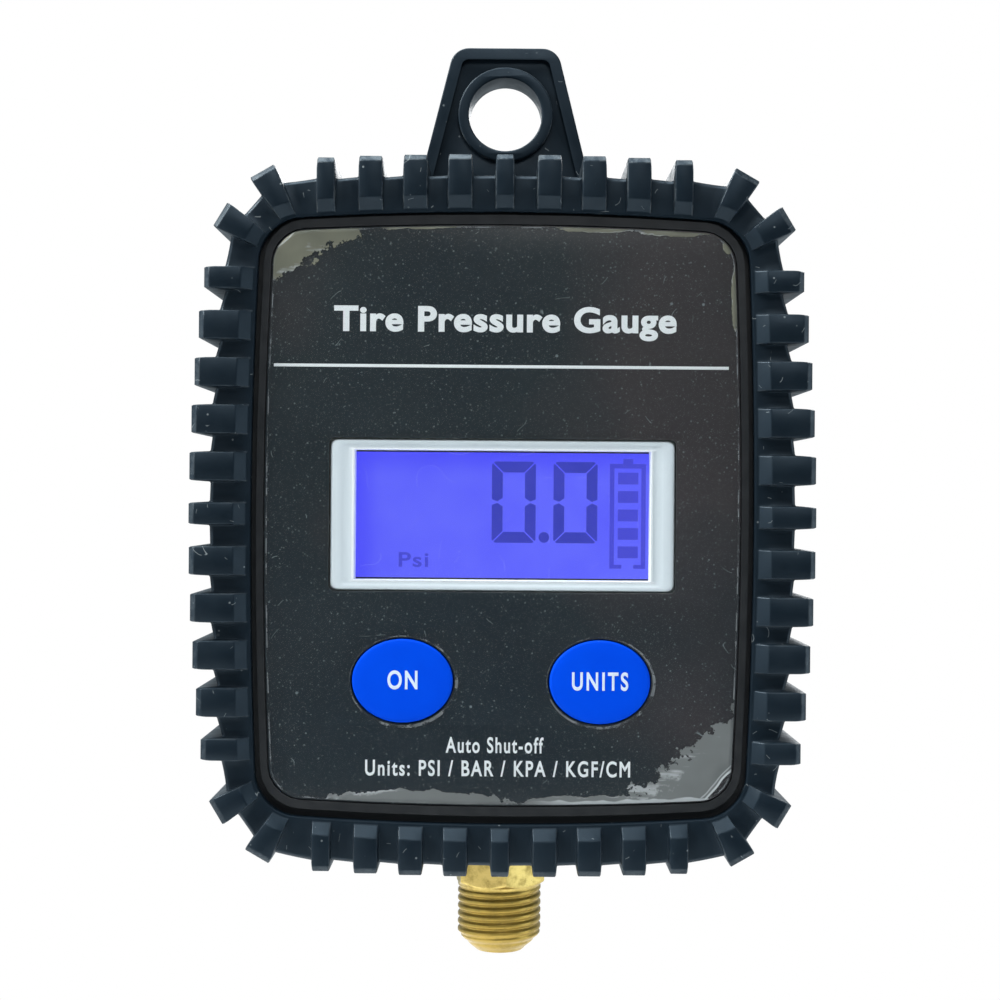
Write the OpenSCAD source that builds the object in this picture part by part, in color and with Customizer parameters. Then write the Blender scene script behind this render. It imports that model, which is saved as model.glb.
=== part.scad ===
// Digital tyre pressure gauge with a rubber boot, a 1/8 inch brass stem and two AAA cells.
// +Z points up along the stem, the display faces -Y, and the origin is the centre of the stem's lower end.

/* [Boot] */
// Width over the rib tips
boot_w = 69.6; // [69:0.2:74]
// Height over the rib tips, without the tab
boot_h = 80.1; // [79.6:0.2:84]
// Depth over the rib faces, front to back
boot_d = 28; // [27:0.5:32]
// Height of the boot's centre above the stem's lower end
body_z = 51; // [50.5:0.1:52]
// Ribs along each side
side_ribs = 11; // [5:2:11]
// Ribs along the top and along the bottom
end_ribs = 9; // [3:2:9]
// Spacing of the side ribs
side_pitch = 5.23; // [5:0.01:5.3]
// Spacing of the end ribs
end_pitch = 4.96; // [4.8:0.01:5.1]
// How far the ribs stand out round the edge
rib_out = 2.2; // [1.2:0.1:2.6]
// How far the ribs stand out of the front and back faces
rib_up = 1.2; // [0.6:0.1:1.4]
// Radial length of a rib on the front and back faces
rib_length = 6.2; // [4:0.1:6.4]

/* [Hanging tab] */
// Height of the tab's top above the boot's centre
tab_top = 54.3; // [52:0.1:58]
// Height of the eye's centre above the boot's centre
eye_z = 46.6; // [46.4:0.1:47]
// Radius of the eye
eye_r = 4.25; // [3:0.05:4.4]
// Thickness of the tab's rim and eye boss
tab_d = 6; // [5:0.5:8]

/* [Housing] */
// Width of the plastic housing
case_w = 59.2; // [58.8:0.2:59.4]
// Height of the plastic housing
case_h = 71.2; // [70.8:0.2:71.4]
// Thickness of the housing walls
wall = 1.8; // [1.4:0.1:2]
// Where the front housing meets the rear housing, along Y
split_y = -1.5; // [-1.8:0.1:-1.4]

/* [Display and keys] */
// Width of the display's visible area
view_w = 33; // [30:0.5:33.5]
// Height of the display's visible area
view_h = 14.5; // [12:0.5:14.5]
// Width of a key
key_w = 11.25; // [10:0.25:11.5]
// Height of a key
key_h = 9.35; // [8:0.05:9.4]
// Distance of each key's centre from the middle
key_x = 11; // [10.5:0.1:11.2]
// Height of the keys' centres relative to the boot's centre
key_z = -18.5; // [-18.6:0.1:-18.2]
// Travel of a key
key_travel = 0.5; // [0.3:0.05:0.5]

/* [Stem] */
// Major radius of the 1/8 inch pipe thread
thread_r = 4.864; // [4.8:0.001:4.9]
// Height of the hexagon's lower end
hex_z = 7.8; // [7.5:0.1:9]
// Width across the hexagon's flats
hex_af = 9.8; // [9.75:0.05:10]

/* [Batteries] */
// Diameter of an AAA cell
cell_d = 10.5; // [10.2:0.1:10.5]
// Length of an AAA cell with its positive cap
cell_l = 44.5; // [44:0.1:44.5]

/* [Hidden] */
$fn = 48;
bite = 1;                         // how far a cutting shape runs past the face that it cuts
slip = 0.05;                      // clearance between parts that are fitted together
half_d = boot_d / 2;
groove_y = half_d - rib_up;       // front of the boot between the ribs
lip_y = groove_y - 1.4;           // inner face of the boot's lip
bezel_y = lip_y + 1;              // front of the housing's bezel
label_y = bezel_y - 0.4;          // floor of the recess that holds the label
label_t = 0.25;
film_t = 0.08;
front_wall_y = bezel_y - 2;       // inner face of the housing's front wall
back_wall_y = bezel_y - wall;     // inner face of the housing's back wall

// Each outline is [half width, half height, corner radius, bow of the sides, bow of the ends].
tip_line = [boot_w / 2, boot_h / 2, 9, 3.6, 1.5];
core_line = [boot_w / 2 - rib_out, boot_h / 2 - rib_out + 0.65, 7.5, 3.4, 1.4];
lip_line = [28.05, 34.1, 4.5, 0.9, 1.1];
case_line = [case_w / 2, case_h / 2, 7, 1.2, 1.1];
bezel_line = [27.45, 33.5, 4.2, 0.9, 1.0];
label_line = [26.55, 32.35, 3.5, 0.9, 0.8];
core_drop = 0.55;                 // the boot's walls sit this much lower than its rib tips
lip_drop = 0.3;

tab_slope = 0.25;                 // how much each side of the tab leans in, per unit of height
tab_top_w = 12;
tab_round = 2.2;
tab_rim = 1.15;
tab_root = 36;
boss_r = 5.5;
web_drop = 0.7;                   // how far the tab's web lies below its rim
stem_hole_r = 6;

pcb_y = [-5.6, -4];               // front and back faces of the circuit board
pcb_x = 24;
pcb_z = [27, 76];
notch_x = 5.2;                    // half width of the board's notch over the stem's cup
header_x = 3.4;
header_y = -2.2;
header_z = [29.1, 31.5];
pcb_screw_x = 20.5;
pcb_screw_z = [30, 73];

frame_w = 38.4;                   // display frame where it shows
frame_h = 16.8;
frame_gap = 0.3;                  // how much larger than the frame its opening is
skirt_w = 44;
skirt_h = 23.2;
glass_w = 40.4;
glass_h = 20.4;

case_screw_x = 22.8;
case_screw_z = 28.8;
case_post_r = 3;
pcb_post_r = 2.2;

key_flange = 0.85;                // how far the key's flange reaches past its face
key_hole = 0.3;                   // how much wider than the key its holes in the housing and label are
film_hole = 1;                    // and its hole in the film
switch_w = 6;
plunger_top = -9.1;
plunger_foot = -7.3;
dome_rise = 0.35;
cavity_floor = plunger_foot + key_travel + dome_rise + 0.25;

stem_chamfer = 2.1;
port_r = 1.4;
shank_r = 4.9;
cup_r = 6.2;
cup_bore_r = 4.7;
cup_z = [22, 28.6];
cup_floor = 24.2;
case_floor_z = body_z - case_h / 2;
flange_z = [case_floor_z + wall + 0.1, case_floor_z + wall + 2];
clamp_z = [19.8, 21.8];
clamp_screw_x = 9.2;

cell_x = cell_d / 2 + 0.2;
cell_y = 5.2;
bay_x = 11.1;                     // half width inside the battery bay
bay_z = [32.1, 80.8];
bay_floor = -0.3;
bay_wall = 1.2;
contact_t = 0.3;
spring_l = bay_z[1] - bay_z[0] - 2 * contact_t - cell_l;
lead_x = 8;
lead_y = 2;
lead_r = 0.5;
lead_z = 30.2;

door_x = 16.8;                    // half width of the battery door
door_gap = 0.15;
door_pad = 2.4;                   // how far the thick seat round the door reaches past it
seat_y = 8.9;
door_y = [10.8, bezel_y];
hinge_r = (door_y[1] - door_y[0]) / 2;
hinge_y = (door_y[0] + door_y[1]) / 2;
hinge_z = 82.3;
hinge_pin_r = 0.55;
hinge_pin_l = 1.2;
door_bottom = 27.6;
door_screw_z = 29.6;
door_screw_tip = 7.6;

// ---- outlines ----

// One corner arc of a rounded rectangle, q counting quarters from the upper right.
function corner(q, a, b, r, n) =
    let (sx = (q == 0 || q == 3) ? 1 : -1, sz = q < 2 ? 1 : -1)
    [for (i = [0:n]) [sx * (a - r) + r * cos(90 * (q + i / n)), sz * (b - r) + r * sin(90 * (q + i / n))]];

function between(p, q, m) = [for (j = [1:m - 1]) p + (q - p) * j / m];

// A point of a rounded rectangle, moved in so that the sides and ends bow outwards.
function bow(p, l) = [
    p[0] * (1 - l[3] / l[0] * pow(p[1] / l[1], 2)),
    p[1] * (1 - l[4] / l[1] * pow(p[0] / l[0], 2))
];

function bowed(l, grow = 0, n = 5, m = 6) =
    let (a = l[0] + grow, b = l[1] + grow, r = l[2] + grow, c = [for (q = [0:3]) corner(q, a, b, r, n)])
    [for (q = [0:3]) each concat(c[q], between(c[q][n], c[(q + 1) % 4][0], m))];

module bowed_shape(l, grow = 0) {
    big = [l[0] + grow, l[1] + grow, l[2], l[3], l[4]];
    polygon([for (p = bowed(l, grow)) bow(p, big)]);
}

module oval(w, h, n = 48) {
    polygon([for (i = [0:n - 1]) [w / 2 * cos(360 * i / n), h / 2 * sin(360 * i / n)]]);
}

function tab_half(z, grow) = tab_top_w / 2 + (tab_top - z) * tab_slope + grow * sqrt(1 + pow(tab_slope, 2));

// The tab's outline from its root up round both top corners, grown or shrunk all round.
function tab_side(grow, n = 6) =
    let (r = tab_round + grow, z = tab_top + grow - r, lean = atan(tab_slope),
         x = tab_half(z, grow) - r * sqrt(1 + pow(tab_slope, 2)))
    [for (i = [0:n]) let (t = lean + (90 - lean) * i / n) [x + r * cos(t), z + r * sin(t)]];

module tab_shape(grow = 0) {
    up = tab_side(grow);
    down = [for (i = [len(up) - 1:-1:0]) [-up[i][0], up[i][1]]];
    root = [tab_half(tab_root, grow), tab_root];
    polygon(concat([[-root[0], root[1]], root], up, down));
}

// ---- placing ----

// Stands a flat shape up in the XZ plane and gives it thickness from y0 to y1.
module slab(y0, y1) {
    translate([0, y1, 0]) rotate([90, 0, 0]) linear_extrude(y1 - y0) children();
}

// A slab whose shape is drawn about the boot's centre.
module body_slab(y0, y1, drop = 0) {
    translate([0, 0, body_z - drop]) slab(y0, y1) children();
}

// A round bar along Y from y0 to y1.
module rod(r, y0, y1) {
    translate([0, y1, 0]) rotate([90, 0, 0]) cylinder(r = r, h = y1 - y0);
}

module brick(x0, x1, y0, y1, z0, z1) {
    translate([x0, y0, z0]) cube([x1 - x0, y1 - y0, z1 - z0]);
}

module both_sides(x) {
    for (s = [-1, 1]) translate([s * x, 0, 0]) children();
}

module at_case_screws() {
    for (s = [-1, 1], t = [-1, 1])
        translate([s * case_screw_x, 0, body_z + t * case_screw_z]) children();
}

module at_pcb_screws() {
    for (s = [-1, 1], z = pcb_screw_z) translate([s * pcb_screw_x, 0, z]) children();
}

module at_keys() {
    for (s = [-1, 1]) translate([s * key_x, 0, body_z + key_z]) children();
}

// ---- boot ----

rib_w_side = 3.2;
rib_w_end = 2.65;
narrow_rib = 0.76;                // the middle rib and the outer ribs of each row, as a share of the others
corner_ribs = [[22, 31], [63, 60]];   // where each sits on its corner, and which way it points
corner_root_w = 1.6;              // width of a corner rib at its inner end
rib_bevel = 0.5;
rib_slope = 1.3;

function rib_w(k, last, w) = (k == 0 || abs(k) == last) ? w * narrow_rib : w;

// A rib that wraps round the boot's edge, with its tip at the origin and pointing along +X.
module rib(w) {
    translate([0, 0, -w / 2]) linear_extrude(w) polygon([
        [-rib_length, -groove_y], [rib_slope - rib_length, -half_d], [-rib_bevel, -half_d],
        [0, rib_bevel - half_d], [0, half_d - rib_bevel], [-rib_bevel, half_d],
        [rib_slope - rib_length, half_d], [-rib_length, groove_y]
    ]);
}

// A rib that narrows towards the middle of the boot.
module corner_rib() {
    w = rib_w_side / 2;
    root = corner_root_w / 2;
    intersection() {
        rib(rib_w_side + bite);
        slab(-half_d - bite, half_d + bite)
            polygon([[-rib_length, -root], [0, -w], [0, w], [-rib_length, root]]);
    }
}

// Puts a rib's tip at p in the XZ plane, turned by an angle.
module place_rib(p, angle) {
    translate([p[0], 0, p[1]]) rotate([0, -angle, 0]) children();
}

module ribs() {
    l = tip_line;
    side_last = (side_ribs - 1) / 2;
    end_last = (end_ribs - 1) / 2;
    for (s = [-1, 1], k = [-side_last:side_last]) {
        z = k * side_pitch;
        place_rib([s * bow([l[0], z], l)[0], z], s > 0 ? 0 : 180) rib(rib_w(k, side_last, rib_w_side));
    }
    for (t = [-1, 1], k = [-end_last:end_last]) {
        x = k * end_pitch;
        place_rib([x, t * bow([x, l[1]], l)[1]], t * 90) rib(rib_w(k, end_last, rib_w_end));
    }
    for (s = [-1, 1], u = [-1, 1], c = corner_ribs) {
        p = bow([l[0] - l[2] + l[2] * cos(c[0]), l[1] - l[2] + l[2] * sin(c[0])], l);
        place_rib([s * p[0], u * p[1]], s > 0 ? u * c[1] : 180 - u * c[1]) corner_rib();
    }
}

module tab() {
    web = tab_d / 2 - web_drop;
    slab(-web, web) tab_shape();
    slab(-tab_d / 2, tab_d / 2) difference() {
        tab_shape();
        tab_shape(-tab_rim);
    }
    translate([0, 0, eye_z]) rod(boss_r, -tab_d / 2, tab_d / 2);
}

module boot() {
    color([0.12, 0.15, 0.19]) difference() {
        union() {
            body_slab(-groove_y, groove_y, core_drop) bowed_shape(core_line);
            translate([0, 0, body_z]) ribs();
            translate([0, 0, body_z]) tab();
        }
        body_slab(-half_d - bite, half_d + bite, lip_drop) bowed_shape(lip_line);
        body_slab(-lip_y, lip_y) bowed_shape(case_line, slip);
        translate([0, 0, body_z + eye_z]) rod(eye_r, -tab_d, tab_d);
        cylinder(r = stem_hole_r, h = case_floor_z + bite);
    }
}

// ---- housing ----

// The opening for the display frame.
module frame_opening() {
    square([frame_w + frame_gap, frame_h + frame_gap], center = true);
}

module front_housing() {
    color([0.1, 0.1, 0.11]) difference() {
        union() {
            difference() {
                union() {
                    body_slab(-lip_y, split_y) bowed_shape(case_line);
                    body_slab(-bezel_y, -lip_y) bowed_shape(bezel_line);
                }
                body_slab(-front_wall_y, split_y + bite) bowed_shape(case_line, -wall);
            }
            at_case_screws() rod(case_post_r, -front_wall_y, split_y);
            at_pcb_screws() rod(pcb_post_r, -front_wall_y, pcb_y[0]);
        }
        body_slab(-bezel_y - bite, -label_y) bowed_shape(label_line, 0.12);
        body_slab(-bezel_y - bite, -front_wall_y + bite) frame_opening();
        at_keys() slab(-bezel_y - bite, -front_wall_y + bite) oval(key_w + key_hole, key_h + key_hole);
        at_case_screws() rod(1.12, -9, split_y + bite);
        at_pcb_screws() rod(0.9, -9.2, pcb_y[0] + bite);
        cylinder(r = shank_r + slip, h = cup_floor);
    }
}

module hinge_line(r, x) {
    translate([-x, hinge_y, hinge_z]) rotate([0, 90, 0]) cylinder(r = r, h = 2 * x);
}

module rear_housing() {
    ledge_y = door_y[0] - 0.1;
    color([0.1, 0.1, 0.11]) difference() {
        union() {
            difference() {
                union() {
                    body_slab(split_y, lip_y) bowed_shape(case_line);
                    body_slab(lip_y, bezel_y) bowed_shape(bezel_line);
                }
                body_slab(split_y - bite, back_wall_y) bowed_shape(case_line, -wall);
            }
            at_case_screws() rod(case_post_r, split_y, back_wall_y);
            brick(-bay_x - bay_wall, bay_x + bay_wall, split_y, back_wall_y + 0.1,
                  bay_z[0] - bay_wall, bay_z[1] + bay_wall);
            brick(-door_x - door_pad, door_x + door_pad, seat_y, back_wall_y + 0.1,
                  door_bottom - 2, hinge_z + 2.2);
            brick(-12.5, 12.5, slip, back_wall_y + 0.1, clamp_z[0], clamp_z[1]);
            translate([0, 0, door_screw_z]) rod(2.2, 6.8, ledge_y);
        }
        brick(-door_x - door_gap, door_x + door_gap, ledge_y, bezel_y + bite,
              door_bottom - door_gap, hinge_z + hinge_r + 0.3);
        brick(-bay_x, bay_x, bay_floor, bezel_y + bite, bay_z[0], bay_z[1]);
        hinge_line(hinge_r + door_gap + slip, door_x + door_gap);
        hinge_line(hinge_pin_r + slip, door_x + hinge_pin_l + door_gap);
        translate([0, 0, door_screw_z]) rod(1.15, 6.8 - bite, ledge_y + bite);
        at_case_screws() rod(1.25, split_y - bite, bezel_y + bite);
        at_case_screws() rod(2.25, bezel_y - 1.5, bezel_y + bite);
        both_sides(clamp_screw_x) translate([0, 0, (clamp_z[0] + clamp_z[1]) / 2]) rod(0.76, -bite, 7.4);
        both_sides(lead_x) translate([0, lead_y, bay_z[0] - bay_wall - bite])
            cylinder(r = lead_r + 0.1, h = bay_wall + 2 * bite);
        cylinder(r = shank_r + slip, h = cup_z[0]);
        translate([0, 0, cup_z[0] - 0.1]) cylinder(r = cup_r + 0.3, h = cup_z[1] - cup_z[0] + 0.4);
    }
}

module battery_door() {
    color([0.11, 0.11, 0.12]) difference() {
        union() {
            brick(-door_x, door_x, door_y[0], door_y[1], door_bottom, hinge_z);
            hinge_line(hinge_r, door_x);
            hinge_line(hinge_pin_r, door_x + hinge_pin_l);
        }
        translate([0, 0, door_screw_z]) rod(0.9, door_y[0] - bite, door_y[1] + bite);
        translate([0, 0, door_screw_z]) rod(1.85, 11.5, door_y[1] + bite);
    }
}

module cross_recess(size, y0, y1) {
    thick = size / 4;
    brick(-size / 2, size / 2, y0, y1, -thick / 2, thick / 2);
    brick(-thick / 2, thick / 2, y0, y1, -size / 2, size / 2);
}

// A screw with its head towards +Y, from its tip to the top of its head.
module back_screw(tip, under_head, top, shank_r, head_r) {
    difference() {
        union() {
            rod(shank_r, tip, under_head + slip);
            rod(head_r, under_head, top);
        }
        cross_recess(head_r * 1.3, top - 0.5, top + bite);
    }
}

module battery_door_screw() {
    color("silver") translate([0, 0, door_screw_z]) back_screw(door_screw_tip, 11.5 + slip, 12.2, 0.8, 1.7);
}

module housing_screws() {
    color("silver") at_case_screws() back_screw(-8.6, bezel_y - 1.5, bezel_y - 0.2, 1.1, 2.1);
}

// ---- label and film ----

module graphic_overlay() {
    color([0.16, 0.18, 0.19]) difference() {
        body_slab(-label_y - label_t, -label_y) bowed_shape(label_line);
        body_slab(-bezel_y - bite, 0) frame_opening();
        at_keys() slab(-bezel_y - bite, 0) oval(key_w + key_hole, key_h + key_hole);
    }
}

module protective_film() {
    y = label_y + label_t;
    color([0.6, 0.62, 0.6, 0.4]) difference() {
        body_slab(-y - film_t, -y) bowed_shape(label_line, -0.15);
        at_keys() slab(-bezel_y - bite, 0) oval(key_w + film_hole, key_h + film_hole);
    }
}

// ---- display ----

module lcd_frame() {
    color([0.86, 0.9, 0.92]) difference() {
        union() {
            body_slab(-label_y - 0.15, -front_wall_y) square([frame_w, frame_h], center = true);
            body_slab(-front_wall_y, pcb_y[0] - 0.1) square([skirt_w, skirt_h], center = true);
        }
        body_slab(-bezel_y - bite, 0) square([view_w, view_h], center = true);
        body_slab(-9.7, 0) square([skirt_w - 2.8, skirt_h - 2.2], center = true);
    }
}

module lcd_glass() {
    color([0.35, 0.37, 1, 0.7]) {
        body_slab(-9.5, -8.6) square([glass_w, glass_h], center = true);
        body_slab(-8.6, -7.7) square([glass_w, glass_h - 3.8], center = true);
    }
}

module front_polarizer() {
    color([0.3, 0.3, 0.5]) body_slab(-9.7, -9.5) square([39.6, 16.4], center = true);
}

module rear_polarizer() {
    color([0.5, 0.5, 0.7]) body_slab(-7.7, -7.5) square([39.6, 16.2], center = true);
}

module backlight_panel() {
    color([0.9, 0.95, 1]) body_slab(-7.5, -5.8) square([37.6, 16], center = true);
}

module backlight_leds() {
    color([0.95, 0.9, 0.6]) both_sides(19.7) body_slab(-7.1, pcb_y[0]) square([1.3, 3], center = true);
}

module zebra_strips() {
    color([0.85, 0.5, 0.6]) for (s = [-1, 1])
        translate([0, 0, s * 9.3]) body_slab(-8.6, pcb_y[0]) square([38, 1.5], center = true);
}

// ---- circuit board ----

module main_pcb() {
    color([0.05, 0.35, 0.15]) difference() {
        brick(-pcb_x, pcb_x, pcb_y[0], pcb_y[1], pcb_z[0], pcb_z[1]);
        at_pcb_screws() rod(1, pcb_y[0] - bite, pcb_y[1] + bite);
        brick(-notch_x, notch_x, pcb_y[0] - bite, pcb_y[1] + bite, pcb_z[0] - bite, cup_z[1] + 0.3);
    }
}

module pcb_screws() {
    color("silver") at_pcb_screws() back_screw(-9, pcb_y[1], pcb_y[1] + 1, 0.85, 1.6);
}

module microcontroller() {
    body = 10;
    legs = 11;
    pitch = 0.8;
    back = pcb_y[1];
    color([0.08, 0.08, 0.08]) translate([0, 0, 56]) {
        brick(-body / 2, body / 2, back + 0.15, back + 1.5, -body / 2, body / 2);
        for (turn = [0:3], k = [-(legs - 1) / 2:(legs - 1) / 2]) rotate([0, 90 * turn, 0])
            brick(body / 2 - slip, body / 2 + 1, back, back + 0.3, k * pitch - 0.18, k * pitch + 0.18);
    }
}

module crystal() {
    color("silver") translate([11, pcb_y[1] + 1, 50]) cylinder(r = 1, h = 6);
}

module smd_parts() {
    chips = [[-12, 66], [-9, 66], [-6, 66], [-12, 62], [12, 66], [15, 62], [-14, 52], [-14, 49],
             [10, 44], [13, 44], [-10, 42], [-7, 42], [4, 40], [-16, 36], [16, 36]];
    color([0.5, 0.4, 0.3]) for (p = chips)
        brick(p[0] - 1, p[0] + 1, pcb_y[1], pcb_y[1] + 0.6, p[1] - 0.6, p[1] + 0.6);
}

module wire_header() {
    color([0.9, 0.88, 0.8]) brick(-header_x, header_x, pcb_y[1], header_y, header_z[0], header_z[1]);
}

// ---- keys and their switches ----

module switch_base(x) {
    color([0.1, 0.1, 0.1]) translate([x, 0, body_z + key_z]) difference() {
        brick(-switch_w / 2, switch_w / 2, -7.9, pcb_y[0], -switch_w / 2, switch_w / 2);
        rod(2.3, -7.9 - bite, cavity_floor);
    }
}

module switch_cover(x) {
    color("silver") translate([x, 0, body_z + key_z]) difference() {
        brick(-switch_w / 2, switch_w / 2, -8.2, -7.9, -switch_w / 2, switch_w / 2);
        rod(1.75, -8.2 - bite, -7.9 + bite);
    }
}

// A thin disc of spring steel, coned up from the switch's floor.
module switch_dome(x) {
    rise = dome_rise;
    t = 0.12;
    color([0.8, 0.75, 0.6]) translate([x, cavity_floor, body_z + key_z]) rotate([90, 0, 0])
        rotate_extrude()
            polygon([[0, rise - t], [0.8, rise - t], [2.2, 0], [2.2, t], [0.8, rise], [0, rise]]);
}

module switch_plunger(x) {
    color([0.15, 0.15, 0.15]) translate([x, 0, body_z + key_z]) {
        rod(1.65, plunger_top, -7.8);
        rod(2.1, -7.85, plunger_foot);
    }
}

module key(x) {
    color([0, 0.3, 0.94]) translate([x, 0, body_z + key_z]) {
        slab(-bezel_y - 0.1, -front_wall_y + 0.15) oval(key_w, key_h);
        slab(-front_wall_y + 0.1, -9.4) oval(key_w + 2 * key_flange, key_h + 2 * key_flange);
        rod(1.6, -9.45, plunger_top);
    }
}

module switch_base_on() { switch_base(-key_x); }
module switch_base_units() { switch_base(key_x); }
module switch_cover_on() { switch_cover(-key_x); }
module switch_cover_units() { switch_cover(key_x); }
module switch_dome_on() { switch_dome(-key_x); }
module switch_dome_units() { switch_dome(key_x); }
module switch_plunger_on() { switch_plunger(-key_x); }
module switch_plunger_units() { switch_plunger(key_x); }
module key_on() { key(-key_x); }
module key_units() { key(key_x); }

// ---- stem and pressure sensor ----

module stem() {
    hex_top = case_floor_z - 0.1;
    color([0.72, 0.58, 0.25]) difference() {
        union() {
            cylinder(r1 = thread_r - stem_chamfer, r2 = thread_r, h = stem_chamfer);
            translate([0, 0, stem_chamfer]) cylinder(r = thread_r, h = hex_z - stem_chamfer + slip);
            translate([0, 0, hex_z]) rotate([0, 0, 30])
                cylinder(d = hex_af / cos(30), h = hex_top - hex_z, $fn = 6);
            translate([0, 0, hex_top - slip]) cylinder(r = shank_r, h = cup_z[0] - hex_top + 2 * slip);
            brick(-6.5, 6.5, -5.5, 5.5, flange_z[0], flange_z[1]);
            translate([0, 0, cup_z[0]]) cylinder(r = cup_r, h = cup_z[1] - cup_z[0]);
        }
        translate([0, 0, -bite]) cylinder(r = port_r, h = cup_floor + 2 * bite);
        translate([0, 0, cup_floor]) cylinder(r = cup_bore_r, h = cup_z[1]);
    }
}

module stem_clamp() {
    strap = 1;
    h = clamp_z[1] - clamp_z[0];
    color("silver") translate([0, 0, clamp_z[0]]) difference() {
        union() {
            cylinder(r = shank_r + slip + strap, h = h);
            brick(-12, 12, -strap, 0, 0, h);
        }
        translate([0, 0, -bite]) cylinder(r = shank_r + slip, h = h + 2 * bite);
        brick(-13, 13, 0, 13, -bite, h + bite);
        both_sides(clamp_screw_x) translate([0, 0, h / 2]) rod(0.85, -2, 2);
    }
}

module clamp_screws() {
    color("silver") both_sides(clamp_screw_x) translate([0, 0, (clamp_z[0] + clamp_z[1]) / 2])
        mirror([0, 1, 0]) back_screw(-7, 1, 2, 0.74, 1.5);
}

module sensor_o_ring() {
    color([0.05, 0.05, 0.05]) translate([0, 0, cup_floor + 0.6])
        rotate_extrude() translate([3.4, 0]) circle(r = 0.6, $fn = 24);
}

module sensor_disc() {
    color([0.9, 0.9, 0.88]) translate([0, 0, cup_floor + 1.2]) cylinder(r = 4.6, h = 1.8);
}

module sensor_retainer() {
    color([0.72, 0.58, 0.25]) translate([0, 0, cup_floor + 3]) difference() {
        cylinder(r = cup_bore_r - 0.02, h = 1.3);
        translate([0, 0, -bite]) cylinder(r = 2.6, h = 4);
        brick(-6, 6, -0.5, 0.5, 0.7, 2);
    }
}

// A lead that goes up or down from z0 to z1 and then forward to the board, with a rounded elbow.
module lead(x, y, z0, z1, y_end, r) {
    translate([x, y, min(z0, z1)]) cylinder(r = r, h = abs(z1 - z0));
    translate([x, y, z1]) sphere(r);
    translate([x, 0, z1]) rod(r, y_end, y);
}

module sensor_wires() {
    z = (header_z[0] + header_z[1]) / 2 - 0.1;
    color([0.7, 0.1, 0.1]) for (k = [-1.5:1.5]) lead(k, 0, cup_floor + 3, z, header_y, 0.3);
}

// ---- batteries ----

// A cell standing on z with its positive cap up, or down when flipped.
module cell(x, z, flip) {
    cap = 1;
    case_l = cell_l - cap;
    color([0.75, 0.55, 0.2]) translate([x, cell_y, z]) {
        translate([0, 0, flip ? cap : 0]) cylinder(d = cell_d, h = case_l);
        translate([0, 0, flip ? 0 : case_l]) cylinder(r = 1.9, h = cap);
    }
}

module battery_left() { cell(-cell_x, bay_z[0] + contact_t + spring_l, false); }
module battery_right() { cell(cell_x, bay_z[0] + contact_t, true); }

// Points of a conical coil's wire: n turns from radius r0 at z0 to radius r1 at z1.
function coil(r0, r1, z0, z1, turns, steps) =
    [for (i = [0:turns * steps]) let (t = i / (turns * steps), a = 360 * turns * t, r = r0 + (r1 - r0) * t)
        [r * cos(a), r * sin(a), z0 + (z1 - z0) * t]];

function unit(v) = v / norm(v);

// Sweeps a round wire with a few sides along a path of points.
module wire(path, r, sides) {
    last = len(path) - 1;
    rings = [for (i = [0:last])
        let (t = unit(path[min(i + 1, last)] - path[max(i - 1, 0)]),
             u = unit(cross(t, [0, 0, 1])), v = cross(u, t))
        for (k = [0:sides - 1]) path[i] + r * (cos(360 * k / sides) * u + sin(360 * k / sides) * v)];
    walls = [for (i = [0:last - 1], k = [0:sides - 1])
        [i * sides + k, i * sides + (k + 1) % sides, (i + 1) * sides + (k + 1) % sides, (i + 1) * sides + k]];
    ends = [[for (k = [sides - 1:-1:0]) k], [for (k = [0:sides - 1]) last * sides + k]];
    polyhedron(rings, concat(walls, ends), convexity = 6);
}

module contact_springs() {
    r = 0.3;
    low = bay_z[0] + contact_t + r;
    high = low + spring_l - 2 * r;
    lift = cell_l;
    color("silver") {
        translate([-cell_x, cell_y, 0]) wire(coil(3.6, 2.4, low, high, 4, 14), r, 6);
        translate([cell_x, cell_y, lift]) wire(coil(2.4, 3.6, low, high, 4, 14), r, 6);
    }
}

module contact_plates() {
    color("silver") {
        both_sides(cell_x) brick(-4.6, 4.6, 0.6, 10, bay_z[0], bay_z[0] + contact_t);
        brick(-10, 10, 0.6, 10, bay_z[1] - contact_t, bay_z[1]);
    }
}

module battery_leads() {
    color([0.1, 0.1, 0.1]) both_sides(lead_x) lead(0, lead_y, bay_z[0], lead_z, pcb_y[1], lead_r);
}

boot();
front_housing();
rear_housing();
battery_door();
battery_door_screw();
graphic_overlay();
protective_film();
lcd_frame();
lcd_glass();
front_polarizer();
rear_polarizer();
backlight_panel();
backlight_leds();
zebra_strips();
main_pcb();
microcontroller();
crystal();
smd_parts();
wire_header();
switch_base_on();
switch_base_units();
switch_cover_on();
switch_cover_units();
switch_dome_on();
switch_dome_units();
switch_plunger_on();
switch_plunger_units();
key_on();
key_units();
stem();
stem_clamp();
clamp_screws();
sensor_disc();
sensor_o_ring();
sensor_retainer();
sensor_wires();
battery_left();
battery_right();
contact_springs();
contact_plates();
battery_leads();
housing_screws();
pcb_screws();
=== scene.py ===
import math

import bmesh
import bpy
import numpy as np
from mathutils import Matrix, Vector, noise


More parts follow.
